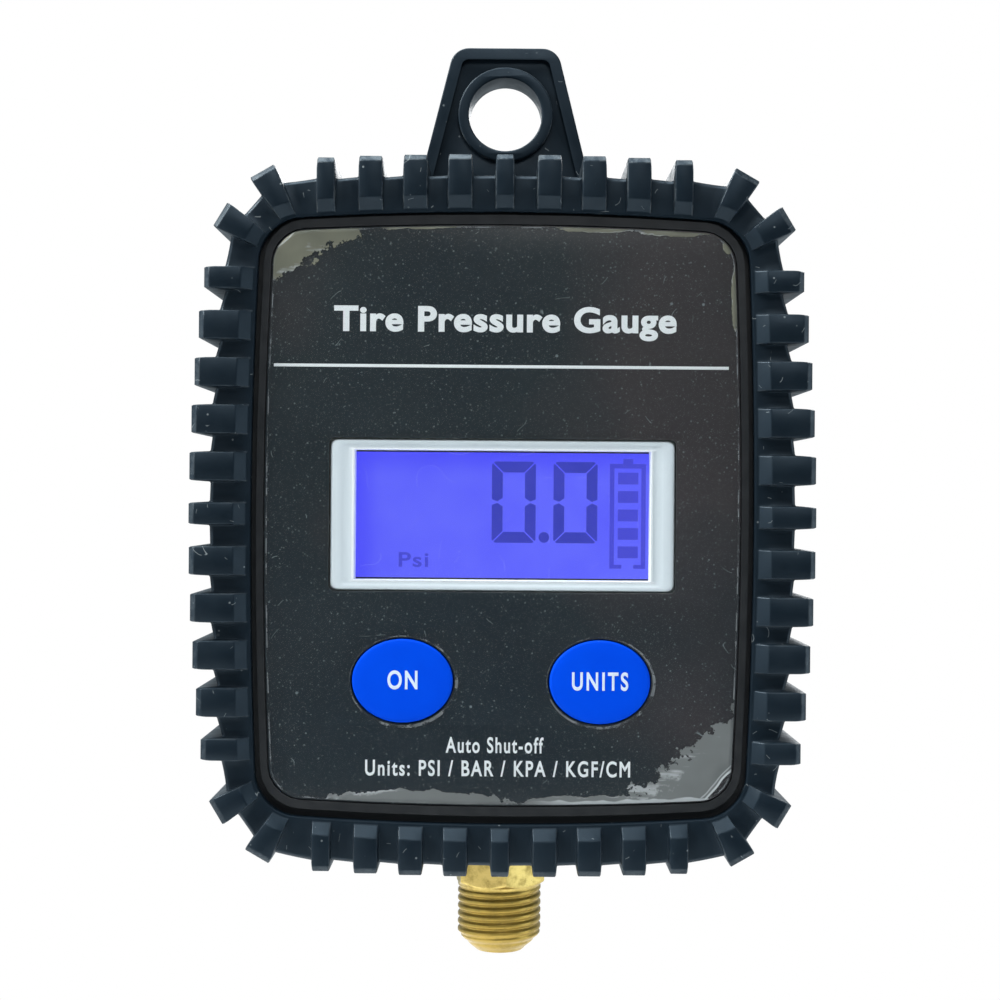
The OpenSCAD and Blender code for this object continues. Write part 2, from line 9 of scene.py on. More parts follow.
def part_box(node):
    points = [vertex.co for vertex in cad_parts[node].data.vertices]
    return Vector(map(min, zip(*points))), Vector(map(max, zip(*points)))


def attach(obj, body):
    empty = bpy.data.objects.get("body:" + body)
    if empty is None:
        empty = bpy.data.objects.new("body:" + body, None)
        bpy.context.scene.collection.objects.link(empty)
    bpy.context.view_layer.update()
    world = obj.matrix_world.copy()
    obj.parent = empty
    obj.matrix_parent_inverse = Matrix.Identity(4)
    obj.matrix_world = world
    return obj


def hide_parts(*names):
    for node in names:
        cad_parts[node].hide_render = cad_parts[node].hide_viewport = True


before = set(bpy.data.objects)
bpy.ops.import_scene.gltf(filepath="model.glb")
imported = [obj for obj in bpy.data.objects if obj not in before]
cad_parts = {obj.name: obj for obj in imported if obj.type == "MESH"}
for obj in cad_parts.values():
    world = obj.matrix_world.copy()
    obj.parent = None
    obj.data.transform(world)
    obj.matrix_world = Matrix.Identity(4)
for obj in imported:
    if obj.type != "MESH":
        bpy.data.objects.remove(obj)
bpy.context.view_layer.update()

MM = 0.001
TURN = 2 * math.pi
QUARTERS = ((1, 1), (-1, 1), (-1, -1), (1, -1))


# ---- places and sizes, in millimetres, from the CAD frame ----

def box_mm(node):
    """Lowest and highest corner of a CAD node in millimetres."""
    low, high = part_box(node)
    return np.array(low) / MM, np.array(high) / MM


BOOT_LOW, BOOT_HIGH = box_mm("boot")
CASE_LOW, CASE_HIGH = box_mm("front_housing")
LABEL_LOW, LABEL_HIGH = box_mm("graphic_overlay")
DISPLAY_LOW, DISPLAY_HIGH = box_mm("lcd_frame")
GLASS_Y = box_mm("front_polarizer")[0][1]  # front face of the display's glass
FILM_LOW, FILM_HIGH = box_mm("protective_film")
DOOR_LOW, DOOR_HIGH = box_mm("battery_door")
HEX_Z = 7.8  # where the stem's hexagon starts, above its thread

BODY_Z = (CASE_LOW[2] + CASE_HIGH[2]) / 2  # height of the body's centre
HALF_D = BOOT_HIGH[1]  # rib faces, front and back
TIP_W = BOOT_HIGH[0]
TIP_H = BODY_Z - BOOT_LOW[2]
RIB_UP = 1.2  # rib height on the front and back faces
RIB_OUT = 2.2  # rib height round the edge
GROOVE_Y = HALF_D - RIB_UP
LIP_Y = GROOVE_Y - 1.4

# Each outline: half width, half height, corner radius, bow of the sides, bow of the ends.
TIP_LINE = (TIP_W, TIP_H, 9, 3.6, 1.5)
LIP_LINE = (28.05, 34.1, 4.5, 0.9, 1.1)
CASE_LINE = (CASE_HIGH[0] + 0.05, CASE_HIGH[2] - BODY_Z + 0.05, 7, 1.2, 1.1)
LABEL_LINE = (LABEL_HIGH[0], (LABEL_HIGH[2] - LABEL_LOW[2]) / 2, 3.5, 0.9, 0.8)
LIP_DROP = 0.3
KEY_X = 11.0
KEY_Z = BODY_Z - 18.5
KEY_W, KEY_H = 11.25, 9.35


# ---- outlines ----

def bow(x, z, line):
    """Moves a point of a rounded rectangle in, so that its sides and ends bow outwards."""
    w, h, _, bow_x, bow_z = line
    return x * (1 - bow_x / w * (z / h) ** 2), z * (1 - bow_z / h * (x / w) ** 2)


def bowed(line, grow=0.0, arc=10, straight=12, centre=(0.0, 0.0)):
    """Points of a bowed rounded rectangle, counter-clockwise from the lower right corner."""
    w, h, r = line[0] + grow, line[1] + grow, max(line[2] + grow, 0.05)
    raw = []
    for q, (sx, sz) in enumerate(QUARTERS):
        for i in range(arc + 1):
            t = math.radians(90 * (q + i / arc))
            raw.append((sx * (w - r) + r * math.cos(t), sz * (h - r) + r * math.sin(t)))
        nx, nz = QUARTERS[(q + 1) % 4]
        t = math.radians(90 * (q + 1))
        goal = (nx * (w - r) + r * math.cos(t), nz * (h - r) + r * math.sin(t))
        last = raw[-1]
        for i in range(1, straight):
            raw.append(between(last, goal, i / straight))
    shape = (w, h, r, line[3], line[4])
    return [(x + centre[0], z + centre[1]) for x, z in (bow(x, z, shape) for x, z in raw)]


def oval(w, h, centre=(0.0, 0.0), n=96):
    return [(centre[0] + w / 2 * math.cos(TURN * i / n), centre[1] + h / 2 * math.sin(TURN * i / n))
            for i in range(n)]


def rounded_box(w, h, r, centre=(0.0, 0.0), arc=6):
    return bowed((w / 2, h / 2, r, 0, 0), 0, arc, 2, centre)


def rectangle(x0, z0, x1, z1):
    return [(x0, z0), (x1, z0), (x1, z1), (x0, z1)]


def reach(point, heading, loop):
    """How far a ray runs from a point before it first crosses a closed loop."""
    a = np.array(loop)
    b = np.roll(a, -1, axis=0)
    edge = b - a
    cross = heading[0] * edge[:, 1] - heading[1] * edge[:, 0]
    cross[np.abs(cross) < 1e-9] = 1e-9
    gap = a - np.array(point)
    along = (gap[:, 0] * edge[:, 1] - gap[:, 1] * edge[:, 0]) / cross
    across = (gap[:, 0] * heading[1] - gap[:, 1] * heading[0]) / cross
    hits = along[(across >= 0) & (across <= 1) & (along > 0)]
    return float(hits.min())


# ---- meshes ----

def linked(name, data):
    """A new object, in the scene."""
    obj = bpy.data.objects.new(name, data)
    bpy.context.scene.collection.objects.link(obj)
    return obj


def evaluated_mesh(obj):
    """The mesh that an object's curve, text or modifiers make."""
    graph = bpy.context.evaluated_depsgraph_get()
    return bpy.data.meshes.new_from_object(obj.evaluated_get(graph))


def curve_mesh(name, curve):
    holder = linked(name, curve)
    mesh = evaluated_mesh(holder)
    bpy.data.objects.remove(holder)
    return mesh


def mark(mesh, name, values):
    """Gives a mesh one number for each vertex, which its material reads by name."""
    mesh.attributes.new(name, "FLOAT", "POINT").data.foreach_set("value", values)


def at_depth(outline, y):
    """An outline of (x, z) points, standing in space at depth y."""
    return [(x, y, z) for x, z in outline]


def between(a, b, share):
    """The point a share of the way from a to b."""
    return tuple(p + (q - p) * share for p, q in zip(a, b))


def finish_mesh(mesh, sharp):
    """Welds a mesh, turns its faces outwards and marks edges sharper than an angle in degrees."""
    bm = bmesh.new()
    bm.from_mesh(mesh)
    bmesh.ops.remove_doubles(bm, verts=bm.verts, dist=1e-7)
    bmesh.ops.recalc_face_normals(bm, faces=bm.faces)
    limit = math.radians(sharp)
    for f in bm.faces:
        f.smooth = True
    for e in bm.edges:
        e.smooth = len(e.link_faces) == 2 and e.calc_face_angle(0) < limit
    bm.to_mesh(mesh)
    bm.free()


def raw_mesh(name, verts_mm, faces):
    mesh = bpy.data.meshes.new(name)
    mesh.from_pydata([tuple(c * MM for c in v) for v in verts_mm], [], faces)
    return mesh


def piece(name, shape, material, body="head", slot=None, stands_for=(), sharp=35):
    """An object of a shape's vertices and faces."""
    mesh = raw_mesh(name, *shape)
    mesh.validate()
    finish_mesh(mesh, sharp)
    return place(name, mesh, material, body, slot, stands_for)


def place(name, mesh, material, body="head", slot=None, stands_for=()):
    """Puts a mesh in the scene with its material and body, and hides the CAD nodes that it stands for. Its
    slot is not used.
    """
    obj = linked(name, mesh)
    mesh.materials.append(material)
    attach(obj, body)
    if stands_for:
        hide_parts(*stands_for)
    return obj


def rings(loops, closed=False):
    """Vertices and faces of a skin over loops of equal length, capped at both ends or joined end to end."""
    n = len(loops[0])
    verts = [p for loop in loops for p in loop]
    last = len(loops) if closed else len(loops) - 1
    faces = []
    for i in range(last):
        a, b = i * n, (i + 1) % len(loops) * n
        for k in range(n):
            m = (k + 1) % n
            faces.append((a + k, a + m, b + m, b + k))
    if not closed:
        faces.append(tuple(range(n - 1, -1, -1)))
        faces.append(tuple(range((len(loops) - 1) * n, len(loops) * n)))
    return verts, faces


def plate(name, loops, y0, y1, bevel, material, **where):
    """A flat plate of an outline and its holes, standing in the XZ plane, with its edges rounded by bevel."""
    curve = bpy.data.curves.new(name, "CURVE")
    curve.dimensions = "2D"
    curve.fill_mode = "BOTH"
    curve.extrude = ((y1 - y0) / 2 - bevel) * MM
    curve.bevel_depth = bevel * MM
    curve.bevel_resolution = 2
    curve.offset = -bevel * MM
    for loop in loops:
        spline = curve.splines.new("POLY")
        spline.points.add(len(loop) - 1)
        spline.use_cyclic_u = True
        for point, (x, z) in zip(spline.points, loop):
            point.co = (x * MM, z * MM, 0, 1)
    mesh = curve_mesh(name, curve)
    mesh.transform(Matrix.Translation((0, (y0 + y1) / 2 * MM, 0)) @ Matrix.Rotation(math.pi / 2, 4, "X"))
    finish_mesh(mesh, 50)
    return place(name, mesh, material, **where)


def applied(obj):
    """Replaces an object's mesh by what its modifiers make of it."""
    mesh = evaluated_mesh(obj)
    obj.modifiers.clear()
    obj.data = mesh


def cut_round(obj, centre, radius, length):
    """Cuts an upright round hole through an object, and clears away the slivers that this leaves."""
    ends = [[(x, y, centre[2] + end) for x, y in oval(2 * radius, 2 * radius, centre[:2], 64)]
            for end in (-length / 2, length / 2)]
    cutter = linked("cutter", raw_mesh("cutter", *rings(ends)))
    cut = obj.modifiers.new("hole", "BOOLEAN")
    cut.operation = "DIFFERENCE"
    cut.object = cutter
    applied(obj)
    bpy.data.objects.remove(cutter)
    bm = bmesh.new()
    bm.from_mesh(obj.data)
    bmesh.ops.remove_doubles(bm, verts=bm.verts, dist=2e-6)
    bmesh.ops.dissolve_degenerate(bm, edges=bm.edges, dist=1e-6)
    bm.to_mesh(obj.data)
    bm.free()


# ---- material nodes ----

class Tree:
    """Adds shader nodes to a material or a world, with inputs given as values or as other nodes' outputs."""

    def __init__(self, owner):
        owner.use_nodes = True
        self.nodes = owner.node_tree.nodes
        self.links = owner.node_tree.links

    def join(self, socket, value):
        if isinstance(value, bpy.types.NodeSocket):
            self.links.new(value, socket)
        elif isinstance(value, tuple) and len(value) == 3 and socket.type == "RGBA":
            socket.default_value = (*value, 1)
        else:
            socket.default_value = value

    def add(self, kind, inputs=(), **settings):
        node = self.nodes.new("ShaderNode" + kind)
        for key, value in settings.items():
            setattr(node, key, value)
        for key, value in dict(inputs).items():
            self.join(node.inputs[key], value)
        return node


class Look(Tree):
    """A material under construction."""

    def __init__(self, name, **surface):
        self.material = bpy.data.materials.new(name)
        super().__init__(self.material)
        self.shader = self.nodes["Principled BSDF"]
        self.place = self.add("TexCoord").outputs["Object"]
        for key, value in surface.items():
            self.set(key.replace("_", " ").title().replace("Ior", "IOR"), value)

    def set(self, socket, value):
        self.join(self.shader.inputs[socket], value)

    def noise(self, size_mm, detail=3.0, rough=0.55, stretch=(1, 1, 1), offset=0.0):
        """Noise from 0 to 1 with features of about this size."""
        moved = self.add("Mapping", {"Vector": self.place, "Scale": stretch, "Location": (offset,) * 3})
        spot, scale = moved.outputs[0], 1 / (size_mm * MM)
        grain = {"Vector": spot, "Scale": scale, "Detail": detail, "Roughness": rough}
        return self.add("TexNoise", grain).outputs["Fac"]

    def math(self, operation, a, b=0.0, clamp=False):
        return self.add("Math", {0: a, 1: b}, operation=operation, use_clamp=clamp).outputs[0]

    def times(self, a, b, clamp=False):
        return self.math("MULTIPLY", a, b, clamp)

    def plus(self, a, b):
        return self.math("ADD", a, b)

    def minus(self, a, b, clamp=False):
        return self.math("SUBTRACT", a, b, clamp)

    def most(self, value, *others):
        for other in others:
            value = self.math("MAXIMUM", value, other)
        return value

    def step(self, value, low, high, to_low=0.0, to_high=1.0):
        """A smooth step of value from low to high."""
        span = {"Value": value, "From Min": low, "From Max": high, "To Min": to_low, "To Max": to_high}
        return self.add("MapRange", span, interpolation_type="SMOOTHSTEP").outputs[0]

    def mix(self, share, a, b):
        node = self.add("Mix", data_type="RGBA")
        self.join(node.inputs["Factor"], share)
        self.join(node.inputs["A"], a)
        self.join(node.inputs["B"], b)
        return node.outputs["Result"]

    def ramp(self, value, *stops):
        node = self.add("ValToRGB", {"Fac": value})
        element = node.color_ramp.elements
        while len(element) < len(stops):
            element.new(0.5)
        for e, (at, colour) in zip(element, stops):
            e.position = at
            e.color = (*colour, 1)
        return node.outputs["Color"]

    def attribute(self, name):
        return self.add("Attribute", attribute_name=name).outputs["Fac"]

    def bump(self, height, depth_mm, strength):
        node = self.add("Bump", {"Height": height, "Distance": depth_mm * MM, "Strength": strength})
        self.set("Normal", node.outputs["Normal"])

    def specks(self, size_mm, share, radius_mm):
        """Small round specks of varied strength in a share of the cells, as a mask from 0 to 1."""
        cells = self.add("TexVoronoi", {"Vector": self.place, "Scale": 1 / (size_mm * MM)})
        lot = self.add("SeparateColor", {0: cells.outputs["Color"]}).outputs[0]
        chosen = self.step(lot, 1 - share, 1.0, 0.0, 1.0)
        wide = radius_mm / size_mm
        dot = self.step(cells.outputs["Distance"], wide * 0.6, wide * 1.3, 1.0, 0.0)
        return self.times(chosen, dot)

    def hairs(self, size_mm, wide, share, offset=0.0):
        """Short thin curved marks, as a mask from 0 to 1."""
        line = self.math("ABSOLUTE", self.minus(self.noise(size_mm, 0, 0.0, offset=offset), 0.5))
        line = self.step(line, 0.0, wide, 1.0, 0.0)
        near = self.step(self.noise(size_mm * 0.6, 0, 0.0, offset=offset + 9), 1 - share, 1 - share + 0.02)
        return self.times(line, near)

    def coordinates(self):
        """The object's X, Y and Z in millimetres."""
        parts = self.add("SeparateXYZ", {0: self.place})
        return [self.times(parts.outputs[i], 1 / MM) for i in range(3)]


def rubber():
    look = Look("boot_rubber", roughness=0.42, specular_ior_level=0.36, specular_tint=(0.66, 0.84, 1.0))
    colour = look.mix(look.noise(6, 4), (0.0040, 0.0085, 0.0140), (0.0060, 0.0120, 0.0185))
    dust = look.most(look.specks(1.3, 0.35, 0.12), look.specks(3.4, 0.35, 0.18),
                     look.hairs(2.2, 0.010, 0.30, 3.0))
    # Paler rib edges: partly rubbed wear, partly a painted highlight on the rib bevels and edges, stronger on
    # the upper ribs.
    worn_and_highlit = look.times(look.attribute("wear_and_highlight"), look.step(look.noise(1.6, 5, 0.7), 0.40, 0.62))
    colour = look.mix(look.times(dust, 0.8), colour, (0.26, 0.29, 0.30))
    colour = look.mix(look.times(worn_and_highlit, 0.42, True), colour, (0.18, 0.20, 0.21))
    look.set("Base Color", colour)
    look.set("Roughness", look.step(look.noise(2.2, 5), 0.25, 0.8, 0.36, 0.5))
    look.bump(look.noise(0.16, 3), 0.010, 0.5)
    return look.material


def moulded(name, low, high, roughness=0.42):
    """A moulded plastic of one colour, with faint mottling and a fine grain."""
    look = Look(name, roughness=roughness)
    look.set("Base Color", look.mix(look.noise(4, 3), low, high))
    look.set("Roughness", look.step(look.noise(1.2, 4), 0.3, 0.75, roughness - 0.06, roughness + 0.08))
    look.bump(look.noise(0.12, 3), 0.01, 0.5)
    return look.material


def metal(name, low, high, roughness):
    """A metal with fine machining marks."""
    look = Look(name, metallic=1.0)
    marks = look.noise(0.3, 4, 0.6)
    look.set("Base Color", look.mix(marks, low, high))
    look.set("Roughness", look.step(marks, 0.3, 0.7, roughness - 0.06, roughness + 0.08))
    look.bump(marks, 0.01, 0.4)
    return look.material


def brass():
    look = Look("stem_brass")
    tarnish = look.step(look.noise(1.3, 6, 0.7), 0.42, 0.70)
    marks = look.noise(0.6, 4, 0.6, (1, 1, 9))
    colour = look.mix(marks, (0.54, 0.39, 0.10), (0.69, 0.53, 0.20))
    _, _, z = look.coordinates()
    threaded = look.step(z, HEX_Z - 0.5, HEX_Z, 1.0, 0.0)
    colour = look.mix(look.times(threaded, 0.72), colour, (0.42, 0.26, 0.025))
    look.set("Metallic", look.step(threaded, 0.0, 1.0, 1.0, 0.6))
    colour = look.mix(look.times(tarnish, 0.6), colour, (0.30, 0.21, 0.05))
    spots = look.step(look.noise(0.4, 3, 0.6, offset=5.0), 0.68, 0.74)
    colour = look.mix(look.times(spots, 0.45), colour, (0.12, 0.08, 0.03))
    look.set("Base Color", colour)
    look.set("Roughness", look.step(tarnish, 0.0, 1.0, 0.34, 0.48))
    look.bump(look.noise(0.2, 3), 0.006, 0.4)
    return look.material


def printed_label():
    look = Look("label_black", roughness=0.34, coat_weight=0.25, coat_roughness=0.12, specular_ior_level=0.35)
    x, _, z = look.coordinates()
    # Painted shading: the label is darker towards the bottom and lighter and warmer towards the right, over a
    # slow random drift in tone.
    low = look.step(z, BODY_Z - 30, BODY_Z - 18, -0.14, 0.0)
    side = look.plus(look.step(x, -12, 24, -0.10, 0.20), low)
    drift_and_shading = look.plus(look.noise(26, 2, 0.4), side)
    colour = look.ramp(drift_and_shading, (0.30, (0.0060, 0.0125, 0.0185)), (0.5, (0.0100, 0.0165, 0.0215)),
                       (0.70, (0.0330, 0.0290, 0.0320)))
    fine = look.most(look.specks(0.7, 0.9, 0.11), look.specks(0.45, 0.8, 0.08))
    fine = look.times(fine, look.step(look.noise(4, 3, offset=2.0), 0.3, 0.7, 0.4, 0.75))
    fine = look.most(fine, look.specks(3.2, 0.5, 0.17), look.hairs(3.0, 0.008, 0.28, 1.0))
    grain = look.step(look.noise(0.24, 2, 0.7, offset=3.0), 0.50, 0.80, 0.0, 0.17)
    colour = look.mix(grain, colour, (0.17, 0.20, 0.22))
    look.set("Base Color", look.mix(look.times(fine, 0.75), colour, (0.21, 0.25, 0.26)))
    look.set("Roughness", look.step(look.noise(1.5, 5), 0.3, 0.8, 0.30, 0.42))
    return look.material


def ink(name, colour, shade):
    look = Look(name, roughness=0.45)
    look.set("Base Color", look.mix(look.noise(0.35, 4), colour, shade))
    return look.material


def crease_lines(look, x, z):
    """Bright folds across the film's two lifted corners, and a mask of what lies outside them."""
    folds = []
    outside = []
    wave = look.times(look.noise(2.5, 1, 0.3), 1.2)
    for side, spread, at in ((-1, 1.0, 4.1), (1, 1.15, 5.9)):
        in_from_side = look.minus(LABEL_LINE[0], look.times(x, side))
        up = look.times(look.minus(z, BODY_Z), -side)
        in_from_end = look.plus(look.minus(LABEL_LINE[1], up), wave)
        far = look.plus(look.times(in_from_side, spread), in_from_end)
        for shift, wide, strength in ((0.0, 0.16, 1.0), (0.55, 0.10, 0.55)):
            gap = look.math("ABSOLUTE", look.minus(far, at + shift))
            folds.append(look.times(look.step(gap, wide * 0.5, wide * 1.6, 1.0, 0.0), strength))
        outside.append(look.step(far, at - 0.2, at))
    return look.most(*folds), look.times(*outside)


def curl_highlight(look, x, z):
    """A painted highlight: a bright strip of uneven width along the right half of the film's lower edge."""
    curve = look.times(look.times(x, x), LABEL_LINE[4] / LABEL_LINE[0] ** 2)
    above = look.minus(look.plus(z, LABEL_LINE[1] - BODY_Z), curve)
    ragged = look.plus(above, look.noise(3.0, 2))
    return look.times(look.step(ragged, 0.95, 1.1, 1.0, 0.0), look.step(x, 2, 9))


def lifted_film():
    """Clear film that shows grey where it has come unstuck, with a pale rim to each patch."""
    look = Look("film_clear", roughness=0.2, ior=1.25)
    x, _, z = look.coordinates()
    ragged = look.step(look.noise(1.7, 5, 0.6), 0.25, 0.75, -0.15, 0.17)
    edge = look.plus(look.attribute("loose"), ragged)
    folds, kept = crease_lines(look, x, z)
    loose = look.times(look.step(edge, 0.0, 0.03), kept)
    rim = look.minus(loose, look.step(edge, 0.08, 0.2), True)
    streak = look.step(look.noise(3.0, 3, 0.6, (0.35, 1, 2.5), offset=7.0), 0.52, 0.66)
    # Painted highlight along the right half of the film's lower edge.
    curl_glint = look.times(curl_highlight(look, x, z), 0.9)
    pale = look.most(look.times(rim, look.times(streak, 0.6)), folds, curl_glint)
    warm = look.step(z, BODY_Z - 20, BODY_Z + 20)
    colour = look.mix(warm, (0.205, 0.22, 0.22), (0.255, 0.255, 0.19))
    colour = look.mix(look.times(look.noise(5, 2), 0.45), colour, (0.12, 0.12, 0.115))
    look.set("Base Color", look.mix(pale, colour, (0.58, 0.61, 0.62)))
    look.set("Alpha", look.most(look.times(loose, 0.8), look.times(pale, 0.85), 0.03))
    return look.material


def film_rim():
    """The film's cut edges, pale in places as a painted highlight."""
    look = Look("film_rim", roughness=0.3)
    look.set("Base Color", look.mix(look.noise(1.2, 3), (0.08, 0.09, 0.10), (0.30, 0.32, 0.33)))
    look.set("Alpha", look.step(look.noise(1.8, 3, offset=4.0), 0.44, 0.58, 0.05, 0.7))
    return look.material


def display_glow():
    """The lit display: blue, deeper towards its left and upper edges, with faint blotches and scratches."""
    look = Look("display_glow", roughness=0.25, base_color=(0.01, 0.01, 0.05), emission_strength=1.0)
    x, _, z = look.coordinates()
    across = look.step(x, -VIEW_W / 2, 3 - VIEW_W / 2, 0.2, 1.0)
    up = look.step(z, BODY_Z + VIEW_H / 2, BODY_Z + VIEW_H / 2 - 3.5, 0.25, 1.0)
    blotch = look.step(look.noise(7, 2), 0.2, 0.8, 0.65, 1.1)
    share = look.times(look.times(across, up), blotch)
    glow = look.mix(share, (0.060, 0.062, 0.94), (0.115, 0.132, 0.98))
    marks = look.most(look.hairs(5.0, 0.004, 0.42), look.specks(2.4, 0.3, 0.1))
    glow = look.mix(look.times(marks, 0.35), glow, (0.32, 0.36, 1.0))
    look.set("Emission Color", glow)
    return look.material


def display_segment(name, high, low):
    look = Look(name, roughness=0.4, base_color=(0.005, 0.005, 0.02), specular_ior_level=0.2,
                emission_strength=1.0)
    look.set("Emission Color", look.mix(look.noise(3.5, 2), high, low))
    return look.material


def display_white():
    """White frame, with painted light on the lip beside the lit display."""
    look = Look("display_white", roughness=0.45, specular_ior_level=0.3)
    face = look.mix(look.noise(5, 3), (0.65, 0.72, 0.76), (0.73, 0.80, 0.84))
    # The marked inner lip is painted brighter, as light from the lit display.
    look.set("Base Color", look.mix(look.attribute("inner"), face, (0.86, 0.90, 0.93)))
    look.bump(look.noise(0.3, 2), 0.004, 0.3)
    return look.material


def key_blue():
    look = Look("key_blue", roughness=0.5, specular_ior_level=0.04)
    colour = look.mix(look.noise(4, 3), (0.0, 0.078, 0.80), (0.0, 0.060, 0.72))
    specks = look.times(look.specks(2.2, 0.25, 0.12), 0.4)
    look.set("Base Color", look.mix(specks, colour, (0.2, 0.4, 0.9)))
    look.bump(look.noise(0.2, 3), 0.008, 0.4)
    return look.material


def see_through(name, colour, alpha, roughness=0.1):
    look = Look(name, roughness=roughness, alpha=alpha)
    look.set("Base Color", look.mix(look.noise(6, 2), colour, tuple(c * 0.9 for c in colour)))
    return look.material


def circuit_green():
    look = Look("circuit_green", roughness=0.35, coat_weight=0.3)
    tracks = look.step(look.math("PINGPONG", look.noise(7, 0, 0.0), 0.03), 0.006, 0.011)
    look.set("Base Color", look.mix(tracks, (0.012, 0.13, 0.045), (0.006, 0.075, 0.025)))
    look.bump(tracks, 0.02, 0.4)
    return look.material


def cell_sleeve():
    """A dry cell's plain foil sleeve."""
    look = Look("cell_sleeve", roughness=0.28, metallic=0.6)
    look.set("Base Color", look.mix(look.noise(2.5, 3), (0.34, 0.2, 0.055), (0.42, 0.26, 0.08)))
    look.set("Roughness", look.step(look.noise(0.7, 4), 0.3, 0.8, 0.22, 0.36))
    return look.material


def white_floor():
    look = Look("floor_white", roughness=0.7)
    look.set("Base Color", look.mix(look.noise(60, 3), (0.88, 0.88, 0.88), (0.93, 0.93, 0.93)))
    return look.material


RUBBER = rubber()
BLACK = moulded("housing_black", (0.010, 0.012, 0.014), (0.015, 0.016, 0.018))
WHITE_INK = ink("ink_white", (0.84, 0.87, 0.88), (0.68, 0.72, 0.73))
LEGEND = ink("legend_white", (0.78, 0.86, 0.97), (0.66, 0.76, 0.93))
STEEL = metal("screw_steel", (0.34, 0.34, 0.35), (0.46, 0.46, 0.46), 0.3)
KEY_BLUE = key_blue()
SEGMENT = display_segment("display_segment", (0.046, 0.054, 0.53), (0.030, 0.042, 0.42))
FAINT = display_segment("display_faint", (0.066, 0.072, 0.70), (0.052, 0.058, 0.60))


# ---- boot ----

SIDE_PITCH, END_PITCH = 5.23, 4.96
SIDE_RIBS, END_RIBS = 11, 9
SIDE_RIB_W, END_RIB_W = 3.2, 2.65
NARROW = 0.76  # the middle rib and the outer ribs of a row, as a share
CORNER_RIBS = ((22, 31), (63, 60))  # where each sits on its corner, and which way it points
CORNER_TAPER = 7.3  # how far a corner rib's sides lean in, in degrees
TIP_ROUND = 0.34  # how far a rib's end is rounded off at its two sides
RIB_LENGTH = 6.25
INNER_SLOPE = 1.3
OUTER_SLOPE = 0.6
LEAN = 0.1  # how much wider a rib is at its root than at its top
STEM_HOLE_R = 6.0
AS_BOOT = {"material": RUBBER, "slot": "boot_rubber", "stands_for": ("boot",)}


def rib_stations():
    """Each rib as tip point, direction in degrees, half width and taper, in order round the boot."""
    found = []

    def row(count, pitch, width, spot):
        last = (count - 1) // 2
        for k in range(-last, last + 1):
            share = NARROW if k == 0 or abs(k) == last else 1.0
            for point, angle in spot(k * pitch):
                found.append((point, angle, width * share / 2, 0.0))

    def side(z):
        x = bow(TIP_W, z, TIP_LINE)[0]
        return (((x, z), 0.0), ((-x, z), 180.0))

    def end(x):
        z = bow(x, TIP_H, TIP_LINE)[1]
        return (((x, z), 90.0), ((x, -z), 270.0))

    row(SIDE_RIBS, SIDE_PITCH, SIDE_RIB_W, side)
    row(END_RIBS, END_PITCH, END_RIB_W, end)
    radius = TIP_LINE[2]
    for seat, aim in CORNER_RIBS:
        t = math.radians(seat)
        x, z = bow(TIP_W - radius + radius * math.cos(t), TIP_H - radius + radius * math.sin(t), TIP_LINE)
        for sx, sz in QUARTERS:
            turned = (aim if sx * sz > 0 else -aim) + (0 if sx > 0 else 180)
            found.append(((sx * x, sz * z), turned % 360, SIDE_RIB_W / 2, CORNER_TAPER))
    found.sort(key=lambda rib: math.atan2(rib[0][1], rib[0][0]))
    return found


def rib_columns():
    """Lines that run in from the rib tips: start point, direction in degrees, and rib level from 0 to 1."""
    across = ((LEAN + 0.16, 0.0), (LEAN, 0.05), (0, 0.86), (-0.05, 0.96), (-0.15, 1.0))
    columns = []
    stations = rib_stations()
    for point, angle, half, taper in stations:
        t = math.radians(angle)
        along = (-math.sin(t), math.cos(t))
        offsets = [(-(half + extra), level) for extra, level in across] + [(0.0, 1.0)]
        offsets += [(half + extra, level) for extra, level in reversed(across)]
        for offset, level in offsets:
            start = (point[0] + along[0] * offset, point[1] + along[1] * offset)
            columns.append((start, angle + taper * offset / half, level))
    per_rib = 2 * len(across) + 1
    filled = []
    for i in range(len(stations)):
        group = columns[i * per_rib:(i + 1) * per_rib]
        following = columns[(i + 1) * per_rib % len(columns)]
        filled += group
        (a, angle_a, _), (b, angle_b, _) = group[-1], following
        turn = (angle_b - angle_a + 180) % 360 - 180
        for f in (1 / 3, 2 / 3):
            filled.append((between(a, b, f), angle_a + turn * f, 0.0))
    return filled


def soften(points, radii):
    """Rounds each corner of an open path of (r, y) points with three points."""
    path = [points[0]]
    for before, corner, after, radius in zip(points, points[1:], points[2:], radii):
        before, corner, after = np.array(before), np.array(corner), np.array(after)
        back, ahead = before - corner, after - corner
        start = corner + back * min(0.45, radius / max(np.linalg.norm(back), 1e-6))
        end = corner + ahead * min(0.45, radius / max(np.linalg.norm(ahead), 1e-6))
        path += [tuple(start), tuple((start + end + 2 * corner) / 4), tuple(end)]
    return path + [points[-1]]


def groove_depth(angle):
    """How deep the grooves are round the edge: less so along the bottom."""
    return RIB_OUT - 1.15 * max(0.0, -math.sin(math.radians(angle))) ** 3


def boot_section(lip, wall, angle, level):
    """The boot's section along one column as (depth from the tip, y), from lip to lip and back inside."""
    foot = min(RIB_LENGTH, lip - 0.4)
    deep = groove_depth(angle)
    tip = TIP_ROUND * min(1.0, (1 - level) / 0.14)
    rib = [(lip, -LIP_Y), (lip, -GROOVE_Y), (foot, -GROOVE_Y), (foot - INNER_SLOPE, -HALF_D),
           (OUTER_SLOPE + tip, -HALF_D), (tip, 0.5 - HALF_D), (tip, 0)]
    groove = [(lip, -LIP_Y), (lip, -GROOVE_Y), (foot, -GROOVE_Y), (foot - INNER_SLOPE, -GROOVE_Y),
              (deep + 0.35, -GROOVE_Y), (deep, 0.35 - GROOVE_Y), (deep, 0)]
    radii = (0.22, 0.14, 0.16, 0.12, 0.12)
    front = [between(a, b, level) for a, b in zip(soften(groove, radii), soften(rib, radii))]
    back = [(r, -y) for r, y in reversed(front[:-1])]
    return front + back + [(wall, LIP_Y), (wall, -LIP_Y)]


